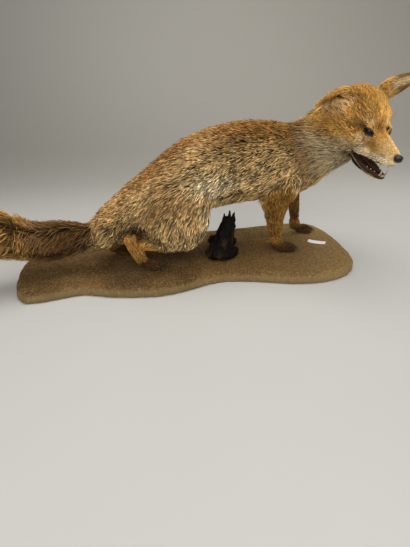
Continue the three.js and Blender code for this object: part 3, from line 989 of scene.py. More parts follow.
@dataclass
class Hide:
    """The one skin under the coat, with the face modelled on it."""

    voxel: float = 2.05
    overlap: float = 0.5
    body_share: float = 0.27
    light_rounds: int = 5
    heavy_rounds: int = 14
    sink_steps: int = 4
    room_share: float = 0.33
    open_room: float = 200.0
    deep: float = 7.0
    lid_reach: float = 17.0
    palate: float = -44.0
    upper_gum: float = 2.0
    lower_gum: float = 3.0
    strokes: tuple[Stroke, ...] = (
        Stroke((-4, 22, 12), (12, 10, 6), 1.6),
        Stroke((14, 12, 4), (12, 8, 8), -1.4),
        Stroke((6, 0, 8), (16, 8, 10), -1.6),
        Stroke((-6, 33, -16), (16, 8, 8), 1.6),
        Stroke((26, 12, -20), (18, 6, 7), -1.2),
        Stroke((50, 11, -34), (20, 6, 7), 1.6),
        Stroke((60, 0, -12), (12, 8, 5), 0.8),
        Stroke((-30, 40, -34), (20, 10, 16), 1.8),
        Stroke((-24, 12, 32), (24, 10, 16), 1.0),
    )

    def build(self) -> Piece:
        """Joins the flesh into one skin, sinks it by the coat's depth and models the face.

        Returns:
            The skin.
        """
        skin = self._gather()
        remesh(skin, self.voxel, 0)
        self._soften(skin)
        self._thin_out(skin)
        self._sink(skin)
        self._refine_face(skin)
        self._model_face(skin)
        return skin

    def _gather(self) -> Piece:
        """Joins swollen copies of the flesh nodes and the eyes, without teeth and claws."""
        copies = []
        for node in (*FLESH, "eye_left", "eye_right"):
            part = copy_of(node, f"{node}_copy")
            points = corners(part)
            if node in ("head", "lower_jaw"):
                points = HEAD.outwards(self._without_teeth(HEAD.inwards(points), node))
            if "paw" in node:
                points = self._without_claws(points)
            set_corners(part, points)
            apply_modifier(part, "DISPLACE", strength=self.overlap * MM, mid_level=0.0)
            copies.append(part)
        return join(copies, "skin")

    def _without_teeth(self, head: Array, node: str) -> Array:
        """Presses the teeth's points back into the gum."""
        kept = head.copy()
        if node == "head":
            tooth = (head[:, 2] < self.palate - 0.5) & (head[:, 0] > 8) & (np.abs(head[:, 1]) < 24)
            kept[tooth, 2] = self.palate + self.upper_gum
            return kept
        gum = np.interp(head[:, 0], *GUM_LINE)
        tooth = head[:, 2] > gum + 0.6
        kept[tooth, 2] = gum[tooth] - self.lower_gum
        return kept

    @staticmethod
    def _without_claws(points: Array) -> Array:
        """Draws the claws' points back into the toes."""
        body = BODY_PLANE.inwards(points)
        low = body[:, 2] < GROUND + 2.2
        front = body[:, 0].max()
        claw = low & (body[:, 0] > front - 9.0)
        body[claw, 0] -= 12.0
        body[claw, 2] += 4.0
        return BODY_PLANE.outwards(body)

    def _soften(self, skin: Piece) -> None:
        """Smooths the facets away, most on the body and least on ears, lips and toes."""
        zones = zones_on(skin)
        heavy = Relief(skin).spread(np.isin(zones, BULKY).astype(float), 12)
        passes = (("all", np.ones(len(heavy)), self.light_rounds), ("bulk", heavy, self.heavy_rounds))
        for name, weights, rounds in passes:
            group = skin.vertex_groups.new(name=name)
            for level in range(1, 11):
                group.add(np.flatnonzero(np.round(weights * 10) == level).tolist(), level / 10, "REPLACE")
            apply_modifier(skin, "SMOOTH", factor=0.5, iterations=rounds, vertex_group=name)

    def _thin_out(self, skin: Piece) -> None:
        """Uses fewer faces where deep fur hides the skin."""
        apply_modifier(skin, "DECIMATE", ratio=self.body_share, vertex_group="bulk", vertex_group_factor=1.0)
        skin.vertex_groups.clear()

    def _sink(self, skin: Piece) -> None:
        """Moves the skin inwards by the coat's depth, where the body is thick enough."""
        relief = Relief(skin)
        weights = zone_weights(skin, relief, 8)
        depth = weights @ np.array([FUR[zone].depth for zone in Zone])
        tree = relief.tree()
        room = np.full(len(depth), self.open_room)
        for i, (point, normal) in enumerate(zip(relief.points, relief.normals)):
            _, _, _, distance = tree.ray_cast(Vector(point - normal * 0.05), Vector(-normal))
            if distance is not None:
                room[i] = distance
        head = HEAD.inwards(relief.points)
        near_nose = ramp(head[:, 0], -5.0, 50.0) * (np.abs(head[:, 1]) < 60)
        lining = relief.spread(mouth_lining(head, relief.normals @ HEAD.turn()), 2)
        depth *= (1 - 0.65 * near_nose) * (1 - lining)
        depth = relief.spread(np.minimum(depth, self.room_share * relief.spread(room, 2)), 4)
        for _ in range(self.sink_steps):
            now = Relief(skin)
            set_corners(skin, now.points - now.normals * (depth / self.sink_steps)[:, None])
        group = skin.vertex_groups.new(name="deep")
        group.add(np.flatnonzero(depth > self.deep).tolist(), 1.0, "REPLACE")
        apply_modifier(skin, "SMOOTH", factor=0.5, iterations=6, vertex_group="deep")
        skin.vertex_groups.clear()

    @staticmethod
    def _on_face(head: Array) -> Array:
        """A test for places on the face."""
        return np.all(np.abs(head - [28, 0, 0]) < [62, 42, 82], axis=1)

    def _by_lids(self, head: Array) -> Array:
        """A test for places round the eyes."""
        return np.any([np.linalg.norm(head - eye.centre(), axis=1) < self.lid_reach for eye in EYES], axis=0)

    def _refine_face(self, skin: Piece) -> None:
        """Cuts the face finer, and the lids finer still."""
        for near_to in (self._on_face, self._by_lids):
            near = near_to(HEAD.inwards(corners(skin)))
            only(skin)
            skin.data.polygons.foreach_set("select", np.zeros(len(skin.data.polygons), bool))
            skin.data.edges.foreach_set("select", np.zeros(len(skin.data.edges), bool))
            skin.data.vertices.foreach_set("select", near)
            bpy.ops.object.mode_set(mode="EDIT")
            bpy.ops.mesh.select_mode(type="VERT")
            bpy.ops.mesh.subdivide(number_cuts=1, smoothness=0.0)
            bpy.ops.object.mode_set(mode="OBJECT")

    def _model_face(self, skin: Piece) -> None:
        """Pushes brows, cheeks and lips into shape and wraps the lids over the eyes."""
        relief = Relief(skin)
        head = HEAD.inwards(relief.points)
        normals = relief.normals @ HEAD.turn()
        for stroke in self.strokes:
            for side in (1, -1):
                at = np.array(stroke.at) * [1, side, 1]
                if side == -1 and stroke.at[1] == 0:
                    continue
                weight = spot(head, at, stroke.reach, 0.6)
                head = head + normals * (weight * stroke.lift)[:, None]
        for eye in EYES:
            head = self._wrap_lids(head, eye)
        set_corners(skin, HEAD.outwards(head))

    @staticmethod
    def _wrap_lids(head: Array, eye: Eye) -> Array:
        """Lays the skin over one eye as two lids with a slit between them."""
        out, _, _ = eye.axes()
        ray = head - eye.centre()
        reach = np.linalg.norm(ray, axis=1)
        rim = eye.rim(head)
        facing = ramp(ray @ out / np.maximum(reach, TINY), -0.15, 0.25)
        over = (1 - ramp(rim, 3.0, 11.0)) * facing * (reach < eye.lid_reach)
        seat, brim = eye.radius - eye.seat, eye.radius + eye.lid
        target = np.where(rim < -0.35, seat, eye.radius + eye.lid * (1 - 0.45 * ramp(rim, 1.0, 5.0)))
        edge = np.clip((rim + 0.35) / 0.5, 0, 1)
        target = np.where(np.abs(rim + 0.1) < 0.4, seat * (1 - edge) + brim * edge, target)
        wanted = eye.centre() + ray / np.maximum(reach, TINY)[:, None] * target[:, None]
        return head * (1 - over)[:, None] + wanted * over[:, None]


BULKY = [Zone.TRUNK.value, Zone.NECK.value, Zone.TAIL.value, Zone.THIGH.value]


def flesh_tree() -> tuple[BVHTree, list[int]]:
    """A search tree of all flesh nodes, and the zone number of each of its triangles."""
    points, triangles, owners = [], [], []
    start = 0
    for node in FLESH:
        relief = Relief(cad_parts[node])
        points.append(relief.points)
        triangles.append(relief.triangles + start)
        owners += [zone_of(node).value] * len(relief.triangles)
        start += len(relief.points)
    tree = BVHTree.FromPolygons(np.concatenate(points).tolist(), np.concatenate(triangles).tolist())
    return tree, owners


def zones_on(item: Piece) -> Array:
    """The zone number of each vertex of a piece, from the nearest flesh node."""
    tree, owners = flesh_tree()
    return np.array([owners[tree.find_nearest(Vector(point))[2]] for point in corners(item)])


def zone_weights(item: Piece, relief: Relief, rounds: int) -> Array:
    """How much each vertex belongs to each zone, with soft borders."""
    zones = zones_on(item)
    return relief.spread((zones[:, None] == np.arange(len(Zone))[None, :]).astype(float), rounds)


class Pelt:
    """What the coat needs to know of the finished skin, vertex by vertex."""

    def __init__(self, skin: Piece) -> None:
        """Works out zones, hair directions, coat depth and colours."""
        self.relief = Relief(skin)
        points = self.relief.points
        self.weights = zone_weights(skin, self.relief, 5)
        self.zones = self.weights.argmax(axis=1)
        flows = np.zeros_like(points)
        tints = np.zeros_like(points)
        for zone in Zone:
            share = self.weights[:, zone.value]
            some = share > 0.01
            flows[some] += GROOM.flow(points[some], zone) * share[some, None]
            tints[some] += MARKINGS.tints(points[some], self.relief.normals[some], zone) * share[some, None]
        self.tints = tints
        normals = self.relief.normals
        flows = self.relief.spread(flows, 6)
        flows -= normals * np.sum(flows * normals, axis=1)[:, None]
        self.flows = unit(flows)
        self.bare = self._bare(HEAD.inwards(points), normals @ HEAD.turn())
        self.tree = self.relief.tree()
        flesh, _ = flesh_tree()
        gaps = np.array([flesh.find_nearest(Vector(point))[3] for point in points])
        self.depths = self.relief.spread(gaps, 2)

    def _bare(self, head: Array, normals: Array) -> Array:
        """1 on hairless dark skin: lid rims, eye corners, lips and the mouth's lining."""
        rims = np.zeros(len(head))
        for eye in EYES:
            close = np.linalg.norm(head - eye.centre(), axis=1) < 19
            corner_in = spot(head, eye.centre() + [13.5, -3.0 * eye.side, -5.0], (7.5, 6, 3.2), 0.4)
            corner_out = spot(head, eye.centre() + [-11.5, 10.5 * eye.side, 5.0], (12, 9, 4.6), 0.4)
            rim = (1 - ramp(eye.rim(head), 1.8, 3.0)) * close
            rims = np.max([rims, rim, corner_in, corner_out], axis=0)
        return np.maximum(rims, mouth_lining(head, normals))


def mouth_lining(head: Array, normals: Array) -> Array:
    """1 on the palate, the gums, the tongue's bed and the edges of the lips."""
    x, y, z = head.T
    inside = (x > -34) & (x < 66) & (np.abs(y) < 30)
    palate = ramp(-normals[:, 2], 0.25, 0.7) * ramp(-z, 38.0, 41.0) * ramp(z, -56.0, -50.0)
    floor_height = np.interp(x, *MOUTH_FLOOR)
    floor = ramp(z - floor_height, -2.5, 0.0) * ramp(-z, 44.0, 47.0)
    corner = spot(head * [1, 0, 1] + np.abs(head) * [0, 1, 0], (-19, 25, -52), (12, 9, 8), 0.4)
    return np.clip(np.max([palate, floor, corner], axis=0), 0, 1) * inside


# ------------------------------------------------------------------ the coat
@dataclass(frozen=True)
class Stretch:
    """One coat piece: its zones, the axis it unwraps about, and the share of that axis it covers."""

    name: str
    slot: str
    zones: tuple[Zone, ...]
    keep: Callable[[Array], Array]
    axis_from: Point
    axis_to: Point


def cut(low: float, high: float) -> Callable[[Array], Array]:
    """A test for places whose distance along the body lies in a range."""
    return lambda body: (body[:, 0] >= low) & (body[:, 0] < high)


def side_of(place: Place, left: bool) -> Callable[[Array], Array]:
    """A test for places of the body plane on one half of the body or head."""
    return lambda body: (place.inwards(BODY_PLANE.outwards(body))[:, 1] >= 0) == left


WHOLE = cut(-math.inf, math.inf)
TAIL_ROOT = cut(-400, math.inf)
TAIL_TIP = cut(-math.inf, -400)
SKULL_AXIS = ((345.0, -20.0, 295.0), (315.0, -190.0, 280.0))
THIGH_AXES = (((-60, -45, 60), (-75, -38, 240)), ((-75, 55, 60), (-85, 48, 220)))
STRETCHES = (
    Stretch("coat_head_left", "coat_head", (Zone.HEAD, Zone.JAW), side_of(HEAD, True), *SKULL_AXIS),
    Stretch("coat_head_right", "coat_head", (Zone.HEAD, Zone.JAW), side_of(HEAD, False), *SKULL_AXIS),
    Stretch("coat_ears", "coat_head", (Zone.EAR,), WHOLE, (330, -180, 330), (330, 60, 330)),
    Stretch("coat_neck", "coat_body", (Zone.NECK,), WHOLE, (200, 22, 225), (325, -80, 298)),
    Stretch("coat_shoulders", "coat_body", (Zone.TRUNK,), cut(115, math.inf), (180, 20, 212), (320, 30, 214)),
    Stretch("coat_ribs", "coat_body", (Zone.TRUNK,), cut(-10, 115), (30, 10, 206), (180, 20, 212)),
    Stretch("coat_loin", "coat_body", (Zone.TRUNK,), cut(-130, -10), (-80, 4, 162), (50, 10, 205)),
    Stretch("coat_rump", "coat_body", (Zone.TRUNK,), cut(-math.inf, -130), (-220, -6, 112), (-70, 2, 165)),
    Stretch("coat_thigh_right", "coat_body", (Zone.THIGH,), side_of(BODY_PLANE, False), *THIGH_AXES[0]),
    Stretch("coat_thigh_left", "coat_body", (Zone.THIGH,), side_of(BODY_PLANE, True), *THIGH_AXES[1]),
    Stretch("coat_forelegs", "coat_legs", (Zone.UPPER_LEG,), WHOLE, (200, 10, 20), (215, 20, 230)),
    Stretch("coat_feet", "coat_legs", (Zone.PAW, Zone.SHANK), WHOLE, (-200, 0, 40), (300, 10, 40)),
    Stretch("coat_tail_root", "coat_tail", (Zone.TAIL,), TAIL_ROOT, (-160, -6, 100), (-350, -20, 105)),
    Stretch("coat_tail_tip", "coat_tail", (Zone.TAIL,), TAIL_TIP, (-330, -20, 100), (-560, -35, 215)),
)


def cell_keys(points: Array, size: Array) -> Array:
    """A number for each place that stands for the cube of space it lies in."""
    first, second, third = (np.floor(points / size[:, None]).astype(np.int64) * CELL_PRIMES).T
    return first ^ second ^ third


def group_means(values: Array, group: Array) -> Array:
    """The mean place of each group's members."""
    sums = np.stack([np.bincount(group, column) for column in values.T], axis=1)
    return sums / np.bincount(group)[:, None]


@dataclass(frozen=True)
class Lock:
    """One scale of clumping: size, how far tips draw in and sway, how shades differ, painted shade between
    locks.
    """

    size: float
    pull: float
    sway: float
    shade: float
    cavity_shade: float


@dataclass
class Coat:
    """Tufts of hair rooted on the skin, each a closed three-sided lock that tapers to its tip."""

    pelt: Pelt
    rings: tuple[float, ...] = (0.0, 0.36, 0.70)
    girths: tuple[float, ...] = (0.75, 1.0, 0.8)
    lock_slimness: float = 0.5
    bare_limit: float = 0.45
    tries: float = 2.2
    cell_share: float = 0.86
    wander: float = 0.10
    rise_power: float = 1.7
    draw_power: float = 1.3
    ridge: float = 1.3
    full_shade_length: float = 17.0
    locks: tuple[Lock, ...] = (Lock(6.0, 0.8, 0.13, 0.19, 0.35), Lock(17.0, 0.3, 0.10, 0.08, 0.15))

    def build(self, stretch: Stretch, number: int) -> Piece:
        """Grows one coat piece.

        Args:
            stretch: Which part of the body it covers.
            number: Seeds its scatter.

        Returns:
            The piece, without material.
        """
        dice = np.random.default_rng(SEED + 97 * number)
        roots, faces, shares = self._scatter(stretch, dice)
        corners_of = self.pelt.relief.triangles[faces]
        normals = unit(self._blend(self.pelt.relief.normals, corners_of, shares))
        flows = unit(self._blend(self.pelt.flows, corners_of, shares))
        weights = self._blend(self.pelt.weights, corners_of, shares)
        tints = self._blend(self.pelt.tints, corners_of, shares)
        sizes = {
            name: weights @ np.array([getattr(FUR[zone], name) for zone in Zone])
            for name in ("length", "width", "clump", "ragged", "contrast")
        }
        sizes["depth"] = self._blend(self.pelt.depths[:, None], corners_of, shares)[:, 0]
        sizes["ear"] = weights[:, Zone.EAR.value]
        self._dress_ears(roots, normals, sizes)
        self._groom_face(roots, sizes)
        sizes["length"] *= np.exp(sizes["ragged"] * np.clip(dice.normal(size=len(roots)), -1.8, 1.5))
        line, rises = self._lay(roots, normals, flows, sizes, dice)
        line, tone = self._gather_clumps(line, rises, sizes, dice)
        piece = self._solids(stretch.name, line, rises, sizes["width"] * dice.uniform(0.75, 1.25, len(roots)))
        self._mark(piece, tone, tints, sizes, dice)
        self._unwrap(piece, stretch, roots)
        return piece

    @staticmethod
    def _blend(values: Array, corners_of: Array, shares: Array) -> Array:
        """Values at places inside triangles, from the values at their corners."""
        return np.einsum("nk,nkd->nd", shares, values[corners_of])

    def _scatter(self, stretch: Stretch, dice: Dice) -> tuple[Array, Array, Array]:
        """Picks evenly spread roots on the haired skin of a stretch.

        Returns:
            Roots, their triangles, and their shares of the triangles' corners.
        """
        relief = self.pelt.relief
        triangles = relief.triangles
        a, b, c = (relief.points[triangles[:, k]] for k in range(3))
        areas = np.linalg.norm(np.cross(b - a, c - a), axis=1) / 2
        zones = self.pelt.zones[triangles[:, 0]]
        inside = np.isin(zones, [zone.value for zone in stretch.zones])
        inside &= stretch.keep(BODY_PLANE.inwards((a + b + c) / 3))
        inside &= self.pelt.bare[triangles].mean(axis=1) < self.bare_limit
        closeness = np.array([1 / FUR[zone].spacing ** 2 for zone in Zone])[zones]
        chance = areas * closeness * inside
        count = int(chance.sum() * self.tries)
        chosen = dice.choice(len(triangles), size=count, p=chance / chance.sum())
        first, second = dice.uniform(size=(2, count))
        flip = first + second > 1
        first, second = np.where(flip, 1 - first, first), np.where(flip, 1 - second, second)
        shares = np.stack([1 - first - second, first, second], axis=1)
        roots = self._blend(relief.points, triangles[chosen], shares)
        spacing = np.array([FUR[zone].spacing for zone in Zone])[zones[chosen]]
        _, kept = np.unique(cell_keys(roots, spacing * self.cell_share), return_index=True)
        kept.sort()
        return roots[kept], chosen[kept], shares[kept]

    @staticmethod
    def _dress_ears(roots: Array, normals: Array, sizes: Sizes) -> None:
        """Longer hair at the ears' roots and in their bowls, longest on the folded one."""
        head = HEAD.inwards(roots)
        ear = sizes["ear"] > 0.5
        folded = head[:, 1] < 0
        places = zip(EAR_RIGHT.share(head, normals), EAR_LEFT.share(head, normals))
        up, bowl, _ = (np.where(folded, *pair) for pair in places)
        factor = (1.3 - 0.7 * np.clip(up, 0, 1)) * (1 + bowl * np.where(folded, 0.5, 0.1))
        sizes["length"] = np.where(ear, sizes["length"] * factor, sizes["length"])

    @staticmethod
    def _groom_face(roots: Array, sizes: Sizes) -> None:
        """Shortens the hair towards the nose and the eyes and lengthens it on the cheeks."""
        head = HEAD.inwards(roots)
        x, _, z = head.T
        face = np.linalg.norm(head, axis=1) < 125
        muzzle = ramp(x, -25.0, 45.0)
        eye = np.min([np.linalg.norm(head - e.centre(), axis=1) for e in EYES], axis=0)
        near_eye = 1 - ramp(eye, 14.0, 30.0)
        cheek = ramp(-x, 20.0, 75.0) * ramp(-z, -20.0, 25.0)
        factor = (1 - 0.55 * muzzle) * (1 - 0.6 * near_eye) * (1 + 0.9 * cheek)
        factor = np.where(face & (x > -100), factor, 1.0)
        sizes["length"] = sizes["length"] * factor
        sizes["width"] = sizes["width"] * np.where(face, 1 - 0.25 * muzzle, 1.0)
        sizes["contrast"] = sizes["contrast"] * np.where(face, 1 - 0.5 * muzzle, 1.0)
        fringe = streak(head, *FRINGE, 10.0)
        ahead = streak(head - np.array([10.0, 4.0, 7.0]), *FRINGE, 10.0) * (1 - fringe)
        sizes["length"] = sizes["length"] * (1 - 0.2 * ahead) * (1 - fringe) + 14.0 * fringe
        sizes["depth"] = sizes["depth"] + 8.0 * fringe
        sizes["contrast"] = sizes["contrast"] * (1 - 0.6 * fringe)

    def _lay(
        self, roots: Array, normals: Array, flows: Array, sizes: Sizes, dice: Dice,
    ) -> tuple[Array, Array]:
        """Lays each tuft along the skin in short steps, rising to the coat's depth.

        Returns:
            The places of rings and tip, and the skin's normals there.
        """
        stops = [*self.rings, 1.0]
        places, rises = [roots], [normals]
        here, way = roots, flows
        for before, after in zip(stops, stops[1:]):
            reach = (sizes["length"] * (after - before))[:, None]
            way = unit(way + dice.normal(scale=self.wander, size=way.shape))
            found = [self.pelt.tree.find_nearest(Vector(p)) for p in here + way * reach]
            here = np.array([f[0] for f in found])
            corner = self.pelt.relief.triangles[[f[2] for f in found], 0]
            up = self.pelt.relief.normals[corner]
            way = unit(0.5 * way + 0.5 * self.pelt.flows[corner])
            rise = sizes["depth"] * (1 - (1 - after) ** self.rise_power) * dice.uniform(0.8, 1.12, len(roots))
            places.append(here + up * rise[:, None])
            rises.append(up)
        return np.stack(places, axis=1), np.stack(rises, axis=1)

    def _gather_clumps(self, line: Array, rises: Array, sizes: Sizes, dice: Dice) -> tuple[Array, Array]:
        """Draws tips together into locks that sway and stand their own way.

        Returns:
            The lines after that, and a tone from 0 to 1 for each tuft.
        """
        roots = line[:, 0]
        lie = unit((line[:, -1] - roots).mean(axis=0))
        squeezed = roots - self.lock_slimness * (roots @ lie)[:, None] * lie
        tone = 0.10 * dice.normal(size=len(roots))
        result = line.copy()
        for lock in self.locks:
            size = lock.size * (0.35 + sizes["length"] / 45)
            jitter = waves(roots, 31.0, 7)[:, None] * size[:, None] * 0.5
            _, group = np.unique(cell_keys(squeezed + jitter, size), return_inverse=True)
            groups = group.max() + 1
            off = np.linalg.norm(roots - group_means(roots, group)[group], axis=1) / size
            sway = unit(dice.normal(size=(groups, 3)))[group] * (sizes["length"] * lock.sway)[:, None]
            sway -= rises[:, -1] * np.minimum(np.sum(sway * rises[:, -1], axis=1), 0.0)[:, None] * 1.4
            for stop in range(1, line.shape[1]):
                reach = (stop / (line.shape[1] - 1)) ** self.draw_power
                pull = (sizes["clump"] * lock.pull * reach)[:, None]
                towards = group_means(line[:, stop], group)[group] - line[:, stop]
                result[:, stop] += towards * pull + sway * reach
            # Tufts near a lock's edge get painted shade, for the gaps between locks.
            tone += dice.normal(size=groups)[group] * lock.shade - lock.cavity_shade * np.clip(off - 0.4, 0, 1)
        return result, np.clip(0.5 + tone * sizes["contrast"], 0.0, 1.0)

    def _solids(self, name: str, line: Array, rises: Array, width: Array) -> Piece:
        """Makes the closed three-sided locks round their lines."""
        count, rings = len(line), len(self.rings)
        points = np.empty((count, rings * 3 + 1, 3))
        for k in range(rings):
            along = unit(line[:, k + 1] - line[:, k])
            side = unit(np.cross(along, rises[:, k]))
            up = np.cross(side, along)
            half = (width * self.girths[k] / 2)[:, None]
            points[:, 3 * k] = line[:, k] + side * half
            points[:, 3 * k + 1] = line[:, k] - side * half
            points[:, 3 * k + 2] = line[:, k] + up * half * self.ridge
        points[:, -1] = line[:, -1]
        start = (np.arange(count) * (rings * 3 + 1))[:, None]
        tip = rings * 3
        triangles = [start + np.array([0, 1, 2])]
        quads = []
        for one, two in ((0, 1), (1, 2), (2, 0)):
            triangles.append(start + np.array([tip - 3 + two, tip - 3 + one, tip]))
            for k in range(rings - 1):
                quads.append(start + np.array([3 * k + two, 3 * k + one, 3 * k + 3 + one, 3 * k + 3 + two]))
        return mesh_from(name, points.reshape(-1, 3), [np.concatenate(triangles), np.concatenate(quads)])

    def _mark(self, piece: Piece, tone: Array, tints: Array, sizes: Sizes, dice: Dice) -> None:
        """Stores each tuft's colour, tone, and distance from its root for the finish."""
        each = len(self.rings) * 3 + 1
        along = np.array([stop for stop in self.rings for _ in range(3)] + [1.0])
        hues = np.concatenate([tints, np.ones((len(tints), 1))], axis=1)
        store(piece.data, "hue", np.repeat(hues, each, axis=0))
        store(piece.data, "tone", np.repeat(tone, each))
        # Short tufts get less of the painted root shade.
        shade = np.clip(sizes["length"] / self.full_shade_length, 0.25, 1.0)
        store(piece.data, "along", (1 - (1 - along)[None, :] * shade[:, None]).ravel())
        grizzle = ramp(sizes["length"], 10.0, 26.0) * dice.uniform(0.4, 1.0, len(tone))
        store(piece.data, "grizzle", np.repeat(grizzle, each))

    @staticmethod
    def _unwrap(piece: Piece, stretch: Stretch, roots: Array) -> None:
        """Gives each tuft its small patch at its root's place on an unwrap round the stretch's axis."""
        start, end = np.array(stretch.axis_from, float), np.array(stretch.axis_to, float)
        axis = unit(end - start)
        side = unit(np.cross(axis, [0.31, 0.17, 0.93]))
        up = np.cross(axis, side)
        ray = roots - start
        length = ray @ axis
        turn = np.arctan2(ray @ up, ray @ side) / (2 * math.pi) + 0.5
        level = (length - length.min()) / (np.ptp(length) + TINY)
        origin = np.stack([level, turn], axis=1) * (1 - TUFT_PATCH)
        corners_used = fetch(piece.data.loops, "vertex_index", 1, np.int32)[:, 0]
        each = len(piece.data.vertices) // len(roots)
        tuft, part = corners_used // each, corners_used % each
        ring = np.minimum(part // 3, each // 3)
        spot_in = np.stack([ring / (each // 3), np.where(ring == each // 3, 0.5, (part % 3) / 2)], axis=1)
        layer = piece.data.uv_layers.new(name=COAT_MAP)
        layer.data.foreach_set("uv", (origin[tuft] + spot_in * TUFT_PATCH).astype(np.float32).ravel())


@dataclass(frozen=True)
class FurFinish:
    """Hair: painted shade between the locks and towards the roots, partly the hair's own darker base,
    grizzled along each tuft, lighter at the tips.
    """

    roughness: float = 0.85

    def material(self, name: str) -> Material:
        """Builds the finish."""
        shader = Shader(name)
        hue = shader.attribute("hue", "Color")
        tone = shader.attribute("tone")
        along = shader.attribute("along")
        grizzle = shader.attribute("grizzle")
        here = shader.place()
        drift = shader.noise(here, 26.0, 3.0)
        # Tufts darken towards their roots: partly the hair's own darker base, partly painted shade deep in
        # the coat.
        bright = (0.25 + 1.7 * tone) * (0.40 + 1.05 * along.step(0.25, 0.85)) * (0.82 + 0.36 * drift)
        dark_tip = grizzle * along.step(0.86, 0.98) * (1 - tone.step(0.25, 0.6))
        bright = bright * (1 - 0.5 * dark_tip)
        grey = shader.node("ShaderNodeCombineColor", {}, {0: bright, 1: bright, 2: bright})
        shaded = shader.mix(1.0, hue, grey, "MULTIPLY")
        # More painted shade near the roots, deep in the coat.
        deep = shader.mix((1 - along.step(0.0, 0.55)) * 0.35, shaded, colour("3a2513"))
        return shader.finish(Base_Color=deep, Roughness=self.roughness, Specular_IOR_Level=0.15)


@dataclass(frozen=True)
class HideFinish:
    """Skin: undercoat colour where hair grows, dark and moist where it is bare."""

    def material(self) -> Material:
        """Builds the finish."""
        shader = Shader("hide")
        hue = shader.attribute("hue", "Color")
        bare = shader.attribute("bare")
        here = shader.place()
        drift = shader.noise(here, 190.0, 4.0)
        under = shader.mix(0.45, hue, colour("4a3018"))
        lining = shader.mix(drift, colour("140a06"), colour("4a2c18"))
        shade = shader.mix(bare, under, lining)
        hair = shader.noise(here, 900.0, 2.0)
        tilt = shader.bump(hair, 0.0006, 0.6)
        rough = 0.9 - 0.5 * bare
        return shader.finish(Base_Color=shade, Roughness=rough, Specular_IOR_Level=0.35, Normal=tilt)


@dataclass(frozen=True)
class TwoTone:
    """A finish that wanders between a dark and a pale colour, smooth or pebbled."""

    name: str
    dark: str
    pale: str
    scale: float
    rough: float
    stretch: Point = (1.0, 1.0, 1.0)
    edges: tuple[float, float] | None = None
    pebbles: float | None = None

    def material(self) -> Material:
        """Builds the finish."""
        shader = Shader(self.name)
        here = shader.place(self.stretch)
        drift = shader.noise(here, self.scale)
        if self.edges:
            drift = drift.step(*self.edges)
        shade = shader.mix(drift, colour(self.dark), colour(self.pale))
        if self.pebbles is None:
            return shader.finish(Base_Color=shade, Roughness=self.rough)
        tilt = shader.bump(shader.cells(here, self.pebbles), 0.0003, 0.7)
        return shader.finish(Base_Color=shade, Roughness=self.rough, Normal=tilt)


# A painted highlight: the pale thread along the wet lower lip.
LIP_HIGHLIGHT = TwoTone("lip_highlight", "6f6152", "b8a98f", 240.0, 0.45, edges=(0.35, 0.7))
IVORY = TwoTone("ivory", "8f7c50", "d5c7a1", 260.0, 0.28)
TONGUE_FLESH = TwoTone("tongue_flesh", "2c150c", "5a3220", 220.0, 0.35, pebbles=1300.0)
CLAW_HORN = TwoTone("claw_horn", "1a120c", "57432c", 1.0, 0.35, stretch=(60.0, 420.0, 420.0))
BRISTLE = TwoTone("bristle", "14100d", "3a2c20", 80.0, 0.4)


@dataclass(frozen=True)
class GlassFinish:
    """Dark brown iris with a black rim and pupil, under clear glass. Radii are in millimetres."""

    iris: float = 6.4
    pupil: float = 3.4

    def material(self, name: str) -> Material:
        """Builds the finish."""
        shader = Shader(name)
        off = shader.attribute("off_axis")
        fibres = shader.noise(shader.place(), 900.0)
        shade = shader.layered(
            shader.mix(fibres, colour("0f0703"), colour("241206")),
            (off.step(self.iris - 1.0, self.iris + 0.6), "0a0604"),
            (1 - off.step(self.pupil - 0.5, self.pupil + 0.5), "030202"),
        )
        return shader.finish(
            Base_Color=shade, Roughness=0.08, Coat_Weight=0.05, Coat_Roughness=0.02, Specular_IOR_Level=0.2,
        )


@dataclass(frozen=True)
class NoseFinish:
    """Black pebbled skin, slightly moist, with painted shade in the nostrils."""

    pebbles: float = 1100.0

    def material(self) -> Material:
        """Builds the finish."""
        shader = Shader("nose_skin")
        here = shader.place()
        shade = shader.mix(shader.noise(here, 300.0), colour("0e0b0a"), colour("231c19"))
        shade = shader.layered(shade, (shader.attribute("nostril_shade"), "040303"))
        tilt = shader.bump(1 - shader.cells(here, self.pebbles), 0.0004, 0.8)
        return shader.finish(Base_Color=shade, Roughness=0.38, Normal=tilt)


@dataclass(frozen=True)
class SandFinish:
    """Glued sand: brown grains, darker patches, painted light on the front end and a paler rim towards the
    bottom.
    """

    lit_from: float = 0.12
    lit_to: float = 0.34

    def material(self) -> Material:
        """Builds the finish."""
        shader = Shader("sand")
        here = shader.place()
        grain = shader.noise(here, 420.0, 5.0, 0.8)
        speck = shader.cells(here, 380.0)
        patch = shader.noise(here, 9.0, 4.0)
        cloud = shader.noise(here, 34.0)
        clots = shader.noise(here, 150.0, 3.0, 0.6)
        # Painted light: the sand is lighter towards the front end.
        lit = shader.axis(here, 0).step(self.lit_from, self.lit_to)
        shade = shader.layered(
            shader.mix(patch.step(0.3, 0.7), colour("5a4022"), colour("7c5c30")),
            (cloud.step(0.45, 0.8) * 0.35, "94794c"),
            (lit * 0.75, "ab8c58"),
            (clots.step(0.5, 0.72) * 0.55, "33230f"),
            ((1 - clots.step(0.3, 0.47)) * 0.4, "b4945c"),
            (grain.step(0.42, 0.66) * 0.75, "2f2110"),
            ((1 - speck.step(0.0, 0.4)) * 0.6, "c9ab74"),
            (shader.attribute("rim") * 0.45, "96825a"),
        )
        tilt = shader.bump(grain + 0.5 * speck, 0.002, 1.0)
        return shader.finish(Base_Color=shade, Roughness=0.95, Specular_IOR_Level=0.2, Normal=tilt)


